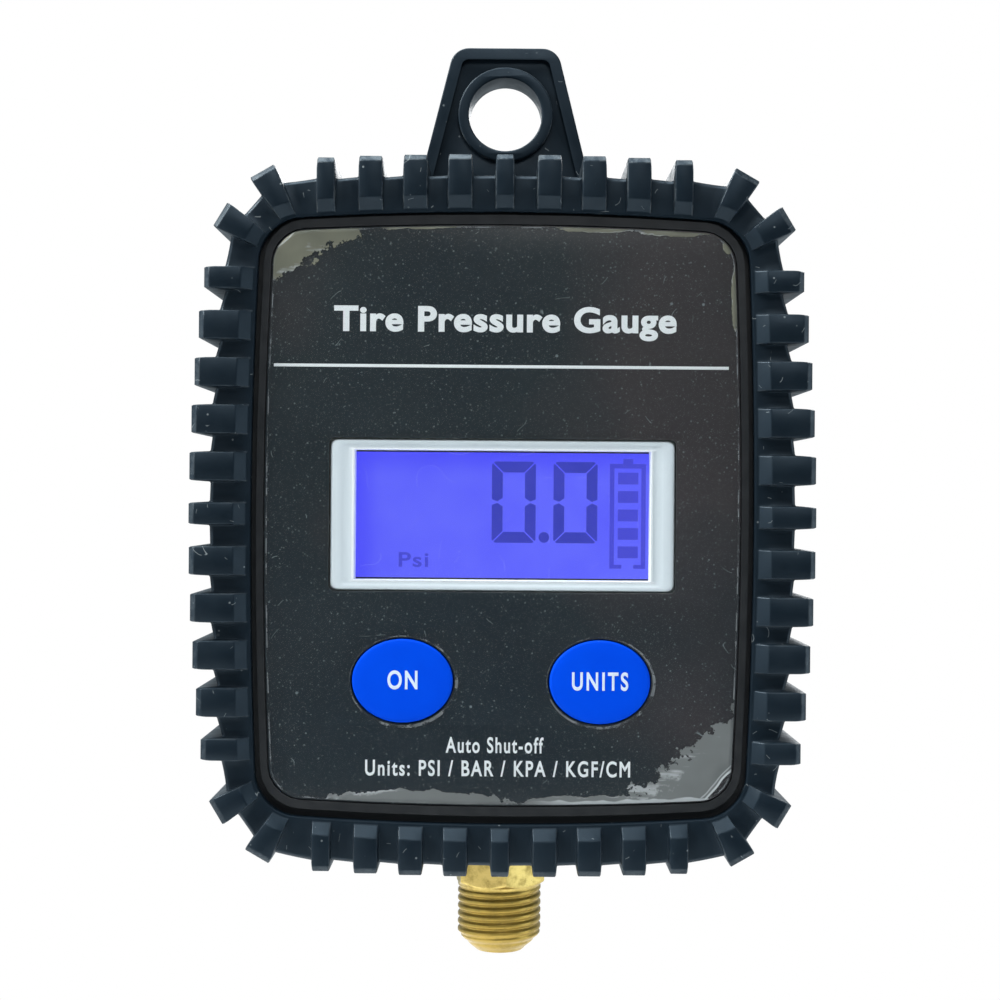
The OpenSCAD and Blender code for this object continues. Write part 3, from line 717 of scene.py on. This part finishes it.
def build_boot():
    lip_loop = [(x, z - LIP_DROP) for x, z in bowed(LIP_LINE)]
    case_loop = bowed(CASE_LINE)
    loops = []
    wear_and_highlight = []
    for start, angle, level in rib_columns():
        t = math.radians(angle)
        heading = (-math.cos(t), -math.sin(t))
        lip, wall = (reach(start, heading, loop) for loop in (lip_loop, case_loop))
        section = boot_section(lip, wall, angle, level)
        loops.append([(start[0] + heading[0] * r, y, BODY_Z + start[1] + heading[1] * r) for r, y in section])
        # Rib tips and rib side edges are marked for the paler colour: partly wear, partly a painted
        # highlight, weighted towards the upper ribs where the light falls.
        upper = 0.35 + 0.65 * max(0.0, math.sin(t)) ** 2
        side = 0.8 if 0.8 < level < 1 else 0.0
        for r, y in section:
            tip = 1.0 if level > 0.8 and abs(y) > GROOVE_Y and r < OUTER_SLOPE + 0.02 else 0.0
            wear_and_highlight.append(upper * max(tip, side if abs(y) > GROOVE_Y else 0.0))
    obj = piece("boot_shell", rings(loops, closed=True), **AS_BOOT, sharp=40)
    mark(obj.data, "wear_and_highlight", wear_and_highlight)
    cut_round(obj, (0, 0, BOOT_LOW[2] + 2), STEM_HOLE_R, 9)


TAB_SLOPE = 0.25
TAB_TOP = BOOT_HIGH[2] - BODY_Z
TAB_HALF = 6.0  # half width where its two slopes would meet its top
TAB_R = 2.2
WEB_IN = 0.7  # how far the web lies behind the rim's faces
EYE_Z = BODY_Z + 46.6
EYE_R, BOSS_R = 4.25, 5.5
TAB_D = 6.0
TAB_RIM = 1.15
TAB_ROOT = 37.2


def tab_loop(inset, root):
    """The tab's outline, moved in by inset, from its root up and round both top corners."""
    lean = math.hypot(1, TAB_SLOPE)
    r = TAB_R - inset
    top = TAB_TOP - inset - r
    half = TAB_HALF + (TAB_TOP - top) * TAB_SLOPE - inset * lean
    first = math.atan(TAB_SLOPE)
    right = [(TAB_HALF + (TAB_TOP - root) * TAB_SLOPE - inset * lean, root)]
    for i in range(9):
        t = first + (math.pi / 2 - first) * i / 8
        right.append((half - r * lean + r * math.cos(t), top + r * math.sin(t)))
    return [(x, z + BODY_Z) for x, z in right] + [(-x, z + BODY_Z) for x, z in reversed(right)]


def build_tab():
    boss, gap, eye = (oval(2 * r, 2 * r, (0, EYE_Z), 72) for r in (BOSS_R, EYE_R + 0.5, EYE_R))
    face = TAB_D / 2
    web = face - WEB_IN
    plate("tab_web", [tab_loop(0.5, TAB_ROOT), gap], -web, web, 0.05, **AS_BOOT)
    rim = [tab_loop(0, TAB_ROOT), tab_loop(TAB_RIM, TAB_ROOT - 0.6)]
    plate("tab_rim", rim, -face, face, 0.16, **AS_BOOT)
    ring = plate("tab_eye", [boss, eye], -face, face, 0.2, **AS_BOOT)
    # The boss ring's outer edge is marked for a painted highlight, through the same mark as the ribs' paler
    # edges.
    worn_and_highlit = [0.9 if math.hypot(v.co.x, v.co.z - EYE_Z * MM) > (BOSS_R - 0.08) * MM else 0.0
            for v in ring.data.vertices]
    mark(ring.data, "wear_and_highlight", worn_and_highlit)


# ---- label, printing and film ----

LABEL_FACE = LABEL_LOW[1]
WINDOW_W, WINDOW_H, WINDOW_R = 38.7, 17.1, 0.65
DIVIDER_X = (-25.6, 25.1)
DIVIDER_Z = BODY_Z + 16.6
DIVIDER_W = 0.34


def build_label():
    centre = (0, (LABEL_LOW[2] + LABEL_HIGH[2]) / 2)
    loops = [bowed(LABEL_LINE, centre=centre), rounded_box(WINDOW_W, WINDOW_H, WINDOW_R, (0, BODY_Z))]
    loops += [oval(KEY_W + 0.26, KEY_H + 0.26, (s * KEY_X, KEY_Z)) for s in (-1, 1)]
    plate("label", loops, LABEL_FACE, LABEL_HIGH[1], 0.05, printed_label(),
          slot="overlay", stands_for=("graphic_overlay",))


CAPITAL = 0.72  # a capital's height, as a share of the typeface's size
INK_T = 0.016
LETTER_T = 0.04  # how thick the letters are made before they are flattened


def words(name, text, height, centre, y, material, squeeze, bold, spacing, slot, body="head"):
    """Printed words of a given capital height, centred on (x, z), raised a hair from the surface at y.

    Bold is how far the letters are thickened all round, in millimetres.
    """
    curve = bpy.data.curves.new(name, "FONT")
    curve.body = text
    curve.align_x = "CENTER"
    curve.align_y = "CENTER"
    curve.size = height * MM / CAPITAL
    curve.space_character = spacing
    curve.bevel_depth = bold * MM
    curve.bevel_resolution = 0
    curve.extrude = LETTER_T / 2 * MM
    mesh = curve_mesh(name, curve)
    flat = INK_T / 2 / (LETTER_T / 2 + bold)
    stand = Matrix.Rotation(math.pi / 2, 4, "X") @ Matrix.Diagonal((squeeze, 1, flat, 1))
    mesh.transform(Matrix.Translation((centre[0] * MM, (y - 0.01) * MM, centre[1] * MM)) @ stand)
    finish_mesh(mesh, 50)
    return place(name, mesh, material, body, slot)


def build_printing():
    for name, text, height, x, up, squeeze, bold, spacing in (
            ("title_words", "Tire Pressure Gauge", 2.75, 0.2, 21.7, 1.11, 0.13, 1.07),
            ("note_words", "Auto Shut-off", 1.75, -0.7, -25.7, 0.66, 0.05, 1.2),
            ("unit_words", "Units: PSI / BAR / KPA / KGF/CM", 1.75, -0.3, -28.3, 0.72, 0.05, 1.22)):
        words(name, text, height, (x, BODY_Z + up), LABEL_FACE, WHITE_INK, squeeze, bold, spacing, "overlay")
    line = rectangle(DIVIDER_X[0], DIVIDER_Z - DIVIDER_W / 2, DIVIDER_X[1], DIVIDER_Z + DIVIDER_W / 2)
    plate("divider_line", [line], LABEL_FACE - 0.015, LABEL_FACE, 0.003, WHITE_INK, slot="overlay")


FILM_T = 0.045
FILM_GAP = 0.025  # between the film and the label where it lies flat
FILM_BEND = (3.35, 0.9, 0.8)  # its corner radius, and how far its sides and ends bow

# Unstuck patches: centre x and z from the label's centre, reach along x and z, lift, and the power of the
# outline: 1 for a corner cut off straight and 2 for a lens.
LOOSE = (
    (-26.4, 32.3, 11.5, 6.6, 0.30, 1), (-10.0, 32.35, 6.5, 0.5, 0.08, 2), (10.1, 32.1, 4.2, 0.5, 0.08, 2),
    (19.0, 32.0, 4.6, 0.8, 0.08, 2), (25.0, 30.2, 0.7, 1.0, 0.08, 2), (26.0, 25.0, 0.65, 4.4, 0.10, 2),
    (-9.5, -32.4, 11.2, 1.75, 0.16, 2), (11.4, -32.2, 9.4, 1.05, 0.14, 2), (26.5, -32.4, 13.5, 11.2, 0.22, 1),
)


def patches(x, z):
    """How far inside each unstuck patch a point is, positive inside, with that patch's lift."""
    for cx, cz, rx, rz, lift, power in LOOSE:
        dx, dz = abs(x - cx) / rx, abs(z - cz) / rz
        yield 1 - (dx ** power + dz ** power) ** (1 / power), lift


def looseness(x, z):
    return max(-1.0, max(inside for inside, _ in patches(x, z)))


def film_lift(x, z):
    """How far the film stands off the label at a point."""
    ripple = 0.75 + 0.5 * noise.noise(Vector((x * 0.7, z * 0.7, 2.0)))
    return max(lift * ripple * min(1.0, max(0.0, inside) * 2.2) for inside, lift in patches(x, z))


def film_sheet(shape, face, centre_z):
    """The film's front as a grid that rises off the label in its loose patches."""
    w, h = shape[:2]
    step = 0.42
    nx, nz = round(2 * w / step), round(2 * h / step)
    verts, loose = [], []
    for j in range(nz + 1):
        for i in range(nx + 1):
            x, z = round_off(-w + 2 * w * i / nx, -h + 2 * h * j / nz, shape)
            verts.append((x, face - film_lift(x, z), z + centre_z))
            loose.append(looseness(x, z))
    faces = []
    for j in range(nz):
        for i in range(nx):
            a = j * (nx + 1) + i
            if not over_key(verts[a], verts[a + nx + 2]):
                faces.append((a, a + 1, a + nx + 2, a + nx + 1))
    mesh = raw_mesh("film", verts, faces)
    mark(mesh, "loose", loose)
    for f in mesh.polygons:
        f.use_smooth = True
    return mesh


def build_film():
    """The film as a thin closed sheet, clear behind, and its pale cut edges."""
    centre = (0, (FILM_LOW[2] + FILM_HIGH[2]) / 2)
    shape = (FILM_HIGH[0], (FILM_HIGH[2] - FILM_LOW[2]) / 2, *FILM_BEND)
    face = LABEL_FACE - FILM_T - FILM_GAP
    mesh = film_sheet(shape, face, centre[1])
    film = place("film", mesh, lifted_film(), slot="film", stands_for=("protective_film",))
    mesh.materials.append(see_through("film_back", (0.2, 0.21, 0.21), 0.02, 0.3))
    sheet = film.modifiers.new("sheet", "SOLIDIFY")
    sheet.thickness = FILM_T * MM
    sheet.material_offset = sheet.material_offset_rim = 1
    applied(film)
    rims = {"film_edge": [bowed(shape, -inset, centre=centre) for inset in (0.02, 0.16)]}
    for side, name in ((-1, "film_rim_on"), (1, "film_rim_units")):
        rims[name] = [oval(KEY_W + 0.95, KEY_H + 0.95, (side * KEY_X + 0.12, KEY_Z - 0.10)),
                      oval(KEY_W + 0.55, KEY_H + 0.55, (side * KEY_X, KEY_Z))]
    pale = film_rim()
    for name, loops in rims.items():
        plate(name, loops, face - 0.02, face - 0.005, 0.003, pale, slot="film")


def round_off(x, z, shape):
    """Moves a point of a plain rectangle to the same place in a bowed one with round corners."""
    w, h, r = shape[:3]
    over_x, over_z = abs(x) - (w - r), abs(z) - (h - r)
    if over_x > 0 and over_z > 0:
        far = max(over_x, over_z)
        share = far / math.hypot(over_x, over_z)
        x = math.copysign(w - r + over_x * share, x)
        z = math.copysign(h - r + over_z * share, z)
    return bow(x, z, shape)


def over_key(a, b):
    x, z = (a[0] + b[0]) / 2, (a[2] + b[2]) / 2
    return math.hypot((abs(x) - KEY_X) / (KEY_W / 2 + 0.5), (z - KEY_Z) / (KEY_H / 2 + 0.5)) < 1


# ---- display ----

VIEW_W, VIEW_H, VIEW_R = 33.0, 14.5, 0.08
FRAME_W, FRAME_H, FRAME_R = 38.4, 16.8, 0.8
BAR_T = 0.02
DIGITS_X, DIGITS_Z = (-1.2, 5.75), BODY_Z - 3.08
POINT_AT, POINT_W = (4.7, BODY_Z - 2.45), 1.2
BATTERY_X, BATTERY_Z = 12.1, BODY_Z - 5.9
UNIT_AT = (-10.0, BODY_Z - 5.15)


def build_display_frame():
    """The white frame: a soft outer edge, a raised band, a small step and a straight inner wall."""
    front = DISPLAY_LOW[1]
    profile = ((0.0, 1.6), (0.0, 0.35), (0.03, 0.12), (0.09, 0.02), (0.16, 0.0), (0.42, 0.0), (0.50, 0.04),
               (0.56, 0.07), (0.70, 0.09), (0.88, 0.09), (0.90, 0.06), (0.97, 0.06), (1.0, 0.12), (1.0, 2.4))
    loops = []
    for s, deep in profile:
        w, h, r = between((FRAME_W, FRAME_H, FRAME_R), (VIEW_W, VIEW_H, VIEW_R), s)
        loops.append(at_depth(rounded_box(w, h, r, (0, BODY_Z)), front + deep))
    w, h = DISPLAY_HIGH[0] * 2, DISPLAY_HIGH[2] - DISPLAY_LOW[2]
    full = DISPLAY_HIGH[1] - front
    back = [(w - 2.8, h - 2.2, 2.4), (w - 2.8, h - 2.2, full), (w, h, full), (w, h, 1.6)]
    loops += [at_depth(rounded_box(bw, bh, 0.5, (0, BODY_Z)), front + deep) for bw, bh, deep in back]
    obj = piece("display_frame", rings(loops, closed=True), display_white(), slot="display_white",
                stands_for=("lcd_frame",))
    # Marks the lip beside the display for painted light from the display.
    half_w, half_h = (VIEW_W / 2 + 0.32) * MM, (VIEW_H / 2 + 0.20) * MM
    inner = [1.0 if abs(v.co.x) < half_w and abs(v.co.z - BODY_Z * MM) < half_h else 0.0
             for v in obj.data.vertices]
    mark(obj.data, "inner", inner)


def bar(points, y):
    """Vertices and faces of a thin raised shape with these corners."""
    return rings([at_depth(points, y), at_depth(points, y - BAR_T)])


def joined(parts):
    verts, faces = [], []
    for v, f in parts:
        faces += [tuple(i + len(verts) for i in face) for face in f]
        verts += v
    return verts, faces


DIGIT_W, DIGIT_H, STROKE, SLIT = 4.95, 9.15, 1.22, 0.09


def digit_zero(x, z, y):
    """The six outer strokes of a seven-segment 0 whose lower left corner is at (x, z)."""
    w, h, t, k = DIGIT_W, DIGIT_H, STROKE, SLIT
    mid = h / 2
    level = [(k + 0.12, h - 0.12), (k + 0.3, h), (w - k - 0.3, h), (w - k - 0.12, h - 0.12),
             (w - t - k, h - t), (t + k, h - t)]
    upright = [(0, h - 0.34), (0.12, h - 0.14 - k), (t, h - t - k), (t, mid + 0.48), (0.5 * t, mid + k),
               (0, mid + 0.34)]
    parts = []
    for shape, across in ((level, False), (upright, False), (upright, True)):
        turned = [(w - px, pz) for px, pz in shape] if across else shape
        for flip in (False, True):
            parts.append(bar([(x + px, z + (h - pz if flip else pz)) for px, pz in turned], y))
    return parts


def battery_symbol(x, z, y):
    """A battery outline, open at the bottom, and its five bars, with its lower left corner at (x, z)."""
    w, h, t, lap = 4.05, 11.8, 0.5, 0.2
    frame_strokes = [(0, 0, t, h), (w - t, 0, w, h), (lap, h - t, w - lap, h), (1.5, h - lap, 2.6, h + 0.55),
                     (lap, 0, 1.35, 0.42), (w - 1.35, 0, w - lap, 0.42)]
    bars = [(0.92, h - 0.98 - 2.08 * k - 1.32, 3.2, h - 0.98 - 2.08 * k) for k in range(5)]
    return [bar(rectangle(x + a, z + b, x + c, z + d), y) for a, b, c, d in frame_strokes + bars]


def build_display():
    face = GLASS_Y
    parts = digit_zero(DIGITS_X[0], DIGITS_Z, face) + digit_zero(DIGITS_X[1], DIGITS_Z, face)
    parts.append(bar(oval(POINT_W, POINT_W, POINT_AT, 24), face))
    piece("display_digits", joined(parts), SEGMENT, slot="display_glass")
    symbol = joined(battery_symbol(BATTERY_X, BATTERY_Z, face))
    piece("display_battery_symbol", symbol, FAINT, slot="display_glass")
    words("display_unit", "Psi", 1.65, UNIT_AT, face, FAINT, 1.3, 0.035, 1.1, "display_glass")
    # Painted shadow: black bars along the display's top and bottom edges, where the frame shades the recessed
    # display.
    shade = [bar(rectangle(-VIEW_W / 2, z, VIEW_W / 2, z + 0.2), face)
             for z in (BODY_Z - VIEW_H / 2 - 0.02, BODY_Z + VIEW_H / 2 - 0.18)]
    piece("display_edge_shadows", joined(shade), BLACK, slot="display_glass")
    dress("front_polarizer", display_glow(), 0)


# ---- keys ----

FOOT_W = 3.2
FLANGE_DEEP = (2.2, 3.05)  # the flange's two faces, from the front of the key


def build_key(name, x, body):
    """A key: a crowned oval cap, a flange behind the housing wall and a round foot on the switch."""
    low, high = box_mm(name)
    front = low[1]
    cap = ((1.0, 2.05), (1.0, 0.32), (0.992, 0.18), (0.972, 0.09), (0.93, 0.05), (0.75, 0.025), (0.5, 0.008),
           (0.2, 0.0))
    flange_w, flange_h = high[0] - low[0], high[2] - low[2]
    sizes = [(FOOT_W, FOOT_W, high[1] - front), (FOOT_W, FOOT_W, FLANGE_DEEP[1])]
    sizes += [(flange_w, flange_h, deep) for deep in reversed(FLANGE_DEEP)]
    sizes += [(KEY_W * s, KEY_H * s, deep) for s, deep in cap]
    loops = [at_depth(oval(w, h, (x, KEY_Z)), front + deep) for w, h, deep in sizes]
    piece(f"{name}_cap", rings(loops), KEY_BLUE, body, "key_blue", (name,), sharp=50)
    return front


def build_keys():
    front = build_key("key_on", -KEY_X, "on_key")
    build_key("key_units", KEY_X, "units_key")
    for name, text, height, x, squeeze, spacing, body in (
            ("on_legend", "ON", 2.05, 0.05 - KEY_X, 0.72, 1.2, "on_key"),
            ("units_legend", "UNITS", 2.0, KEY_X, 0.68, 1.28, "units_key")):
        words(name, text, height, (x, KEY_Z), front, LEGEND, squeeze, 0.07, spacing, "key_blue", body)


# ---- stem ----

THREAD_R = 4.864
THREAD_PITCH = 0.907
THREAD_DEEP = 0.24
THREAD_PHASE = 0.45
CHAMFER = 2.1  # how far the stem's end is turned down, and over what length
HEX_AF = 9.8
HEX_TURN = math.radians(-82.5)  # direction of the hexagon's front corner
BORE_R, MOUTH_R = 1.4, 1.62
SHANK_R = 4.9
FLANGE_W, FLANGE_H = 13.0, 11.0
FLANGE_LOW, FLANGE_TOP = CASE_LOW[2] + 1.9, CASE_LOW[2] + 3.8
CUP_Z, CUP_FLOOR, CUP_TOP = 22.0, 24.2, 28.6
CUP_R, CUP_BORE_R = 6.2, 4.7
MID_BORE_Z = 18.0  # where the section starts and ends, inside the bore


def thread_radius(z, t):
    """Radius of the thread's surface, which fades into the shoulder above it and the turned end below."""
    phase = ((z / THREAD_PITCH - t / TURN + THREAD_PHASE) % 1.0) * 2 - 1
    tooth = min(1.0, max(0.0, 1.5 * (1 - abs(phase)) - 0.1))
    tooth = tooth * tooth * (3 - 2 * tooth) * 0.5 + tooth * 0.5
    fade = min(1.0, max(0.0, (HEX_Z - 0.1 - z) / 0.5)) * min(1.0, 0.1 + z / 2.6)
    crest = THREAD_R - CHAMFER * max(0.0, 1 - z / CHAMFER) ** 1.2
    return crest - THREAD_DEEP * (1 - tooth) * fade


def hex_radius(z, t):
    """Radius of the hexagon, with its lower corners turned off to a cone."""
    sector = (t - HEX_TURN) % (TURN / 6) - TURN / 12
    flat = HEX_AF / 2 / math.cos(sector)
    return min(flat, THREAD_R + 0.02 + (z - HEX_Z) * 1.6)


def flange_radius(_, t):
    """Radius of the square flange, the same at every height."""
    return min(FLANGE_W / 2 / max(abs(math.cos(t)), 1e-6), FLANGE_H / 2 / max(abs(math.sin(t)), 1e-6))


def stem_ring(z, radius, n=96):
    """A ring round the stem's axis, whose radius is a number or a function of height and direction."""
    ring = []
    for k in range(n):
        t = TURN * k / n
        r = radius(z, t) if callable(radius) else radius
        ring.append((r * math.cos(t), r * math.sin(t), z))
    return ring


def build_stem():
    """The brass stem from its bore, over the end and up the outside to the sensor cup."""
    hex_top = CASE_LOW[2] - 0.1
    rows = [(MID_BORE_Z, BORE_R), (0.25, BORE_R), (0.0, MOUTH_R)]
    rows += [(z, thread_radius) for z in np.arange(0.0, HEX_Z, THREAD_PITCH / 14)]
    rows += [(HEX_Z + up, hex_radius) for up in (0, 0.12, 0.24, 0.4, 0.6)]
    rows += [(hex_top, hex_radius), (hex_top, SHANK_R), (FLANGE_LOW, SHANK_R), (FLANGE_LOW, flange_radius),
             (FLANGE_TOP, flange_radius), (FLANGE_TOP, SHANK_R), (CUP_Z, SHANK_R), (CUP_Z, CUP_R),
             (CUP_TOP, CUP_R), (CUP_TOP, CUP_BORE_R), (CUP_FLOOR, CUP_BORE_R), (CUP_FLOOR, BORE_R)]
    loops = [stem_ring(z, radius) for z, radius in rows]
    piece("stem_body", rings(loops, closed=True), brass(), slot="brass", stands_for=("stem",), sharp=38)


# ---- CAD nodes that keep their shape ----

def dress(node, material, bevel):
    """Gives a CAD node its material, and rounds its edges by a bevel in millimetres."""
    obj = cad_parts[node]
    if not obj.data.materials:
        obj.data.materials.append(material)
    for held in obj.material_slots:
        held.material = material
    if bevel:
        weld = obj.modifiers.new("weld", "WELD")
        weld.merge_threshold = 1e-6
        soft = obj.modifiers.new("edges", "BEVEL")
        soft.width = bevel * MM
        soft.segments = 2
        soft.limit_method = "ANGLE"
        soft.angle_limit = math.radians(35)


GRIP_BARS, GRIP_PITCH = 5, 1.5
GRIP_W, GRIP_UP = 0.7, 0.35


def build_door_grip():
    """Raised grip bars on the battery door, above its screw."""
    bars = [ridge(6.0 - 0.5 * k, DOOR_LOW[2] + 6.5 + k * GRIP_PITCH) for k in range(GRIP_BARS)]
    piece("door_grip", joined(bars), BLACK, "door", "housing")


def ridge(half, z):
    """A low bar on the door, with rounded ends and sloping sides along X."""
    loops = []
    for s, up in ((1.0, -0.02), (0.9, GRIP_UP * 0.7), (0.7, GRIP_UP)):
        wide = GRIP_W * s
        line = rounded_box(2 * half - GRIP_W * (1 - s), wide, wide / 2 - 0.01, (0, z), 4)
        loops.append(at_depth(line, DOOR_HIGH[1] + up))
    return rings(loops)


def dress_inside():
    chip = moulded("chip_black", (0.012, 0.012, 0.012), (0.02, 0.02, 0.02), 0.5)
    contact = metal("contact_metal", (0.6, 0.58, 0.52), (0.72, 0.7, 0.64), 0.25)
    looks = {
        "rear_polarizer": see_through("polarizer", (0.3, 0.32, 0.5), 0.6),
        "lcd_glass": see_through("display_glass", (0.3, 0.33, 0.6), 0.45, 0.05),
        "backlight_panel": see_through("light_guide", (0.85, 0.9, 0.95), 0.7),
        "backlight_leds": moulded("led", (0.8, 0.75, 0.4), (0.88, 0.82, 0.5), 0.3),
        "zebra_strips": moulded("elastomer", (0.6, 0.25, 0.35), (0.7, 0.33, 0.42), 0.6),
        "main_pcb": circuit_green(),
        "smd_parts": moulded("chip_ceramic", (0.25, 0.17, 0.1), (0.36, 0.26, 0.16), 0.4),
        "wire_header": moulded("header_nylon", (0.65, 0.62, 0.5), (0.75, 0.72, 0.6), 0.45),
        "sensor_disc": moulded("ceramic", (0.7, 0.69, 0.64), (0.8, 0.79, 0.75), 0.5),
        "sensor_o_ring": moulded("seal_rubber", (0.012, 0.012, 0.012), (0.02, 0.02, 0.02), 0.6),
        "sensor_wires": moulded("wire_red", (0.45, 0.02, 0.02), (0.55, 0.03, 0.03), 0.35),
        "battery_leads": moulded("wire_black", (0.015, 0.015, 0.015), (0.025, 0.025, 0.025), 0.35),
        "sensor_retainer": metal("retainer_brass", (0.5, 0.36, 0.1), (0.62, 0.47, 0.18), 0.3),
        "battery_left": cell_sleeve(),
        "battery_right": cell_sleeve(),
        "contact_springs": contact,
        "contact_plates": contact,
        "microcontroller": chip,
    }
    for side in ("on", "units"):
        looks[f"switch_base_{side}"] = looks[f"switch_plunger_{side}"] = chip
        looks[f"switch_cover_{side}"] = looks[f"switch_dome_{side}"] = STEEL
    for node in ("crystal", "stem_clamp", "clamp_screws", "pcb_screws"):
        looks[node] = STEEL
    for node, material in looks.items():
        dress(node, material, 0)


# ---- room ----

FLOOR_R, FLOOR_Z = 160, -50


def softbox(name, place_mm, aim_mm, size_mm, power, colour=(1, 1, 1)):
    light = bpy.data.lights.new(name, "AREA")
    light.shape = "RECTANGLE"
    light.size, light.size_y = size_mm[0] * MM, size_mm[1] * MM
    light.energy = power
    light.color = colour
    obj = linked(name, light)
    obj.location = Vector(place_mm) * MM
    obj.rotation_euler = (Vector(aim_mm) - Vector(place_mm)).to_track_quat("-Z", "Y").to_euler()


def build_room():
    disc = [(x, y, FLOOR_Z) for x, y in oval(2 * FLOOR_R, 2 * FLOOR_R)]
    floor = linked("floor", raw_mesh("floor", disc, [tuple(range(len(disc)))]))
    floor.data.materials.append(white_floor())
    middle = (0, 0, BODY_Z)
    softbox("box_top", (-40, -50, 360), middle, (240, 180), 0.9, (0.86, 0.95, 1.0))
    softbox("box_corner", (-270, -70, 330), middle, (110, 110), 1.9, (1.0, 1.0, 0.97))
    softbox("box_left", (-340, -80, 100), middle, (160, 240), 0.24, (0.78, 0.91, 1.0))
    softbox("box_right", (340, -80, 40), middle, (160, 260), 0.32, (0.82, 0.93, 1.0))
    softbox("box_back", (60, 320, 220), middle, (240, 160), 0.7)
    softbox("box_glint", (-235, -235, 20), (0, 0, 6), (110, 200), 0.10)
    softbox("box_front", (60, -420, 360), middle, (180, 140), 0.5)
    build_world()


def build_world():
    """White where the camera sees it, and dimmer, darkest in front, as a light."""
    world = bpy.data.worlds.new("studio")
    bpy.context.scene.world = world
    tree = Tree(world)
    parts = tree.add("SeparateXYZ", {0: tree.add("TexCoord").outputs["Generated"]})
    span = {"Value": parts.outputs["Y"], "From Min": -1.0, "From Max": 0.1, "To Min": 0.06, "To Max": 0.62}
    power = tree.add("MapRange", span).outputs[0]
    lit = tree.add("Background", {"Color": (0.80, 0.92, 1.0), "Strength": power})
    seen = tree.add("Background", {"Color": (1, 1, 1)})
    is_seen = tree.add("LightPath").outputs["Is Camera Ray"]
    mix = tree.add("MixShader", {0: is_seen, 1: lit.outputs[0], 2: seen.outputs[0]})
    tree.join(tree.nodes["World Output"].inputs["Surface"], mix.outputs[0])


def build_camera():
    data = bpy.data.cameras.new("camera")
    data.sensor_width = 36
    data.lens = 68.4
    data.clip_start, data.clip_end = 0.01, 10
    camera = linked("camera", data)
    place_at = Matrix.Translation(Vector((-0.28, -224, BODY_Z + 1.73)) * MM)
    level = Matrix.Rotation(math.pi / 2, 4, "X") @ Matrix.Rotation(math.radians(0.45), 4, "Z")
    camera.matrix_world = place_at @ level
    bpy.context.scene.camera = camera
    bpy.context.scene.view_settings.view_transform = "Standard"


build_camera()
build_boot()
build_tab()
build_label()
build_printing()
build_film()
build_display_frame()
build_display()
build_keys()
build_stem()
dress("front_housing", BLACK, 0.15)
dress("rear_housing", BLACK, 0.15)
dress("battery_door", BLACK, 0.12)
dress("battery_door_screw", STEEL, 0.08)
dress("housing_screws", STEEL, 0.08)
build_door_grip()
dress_inside()
build_room()
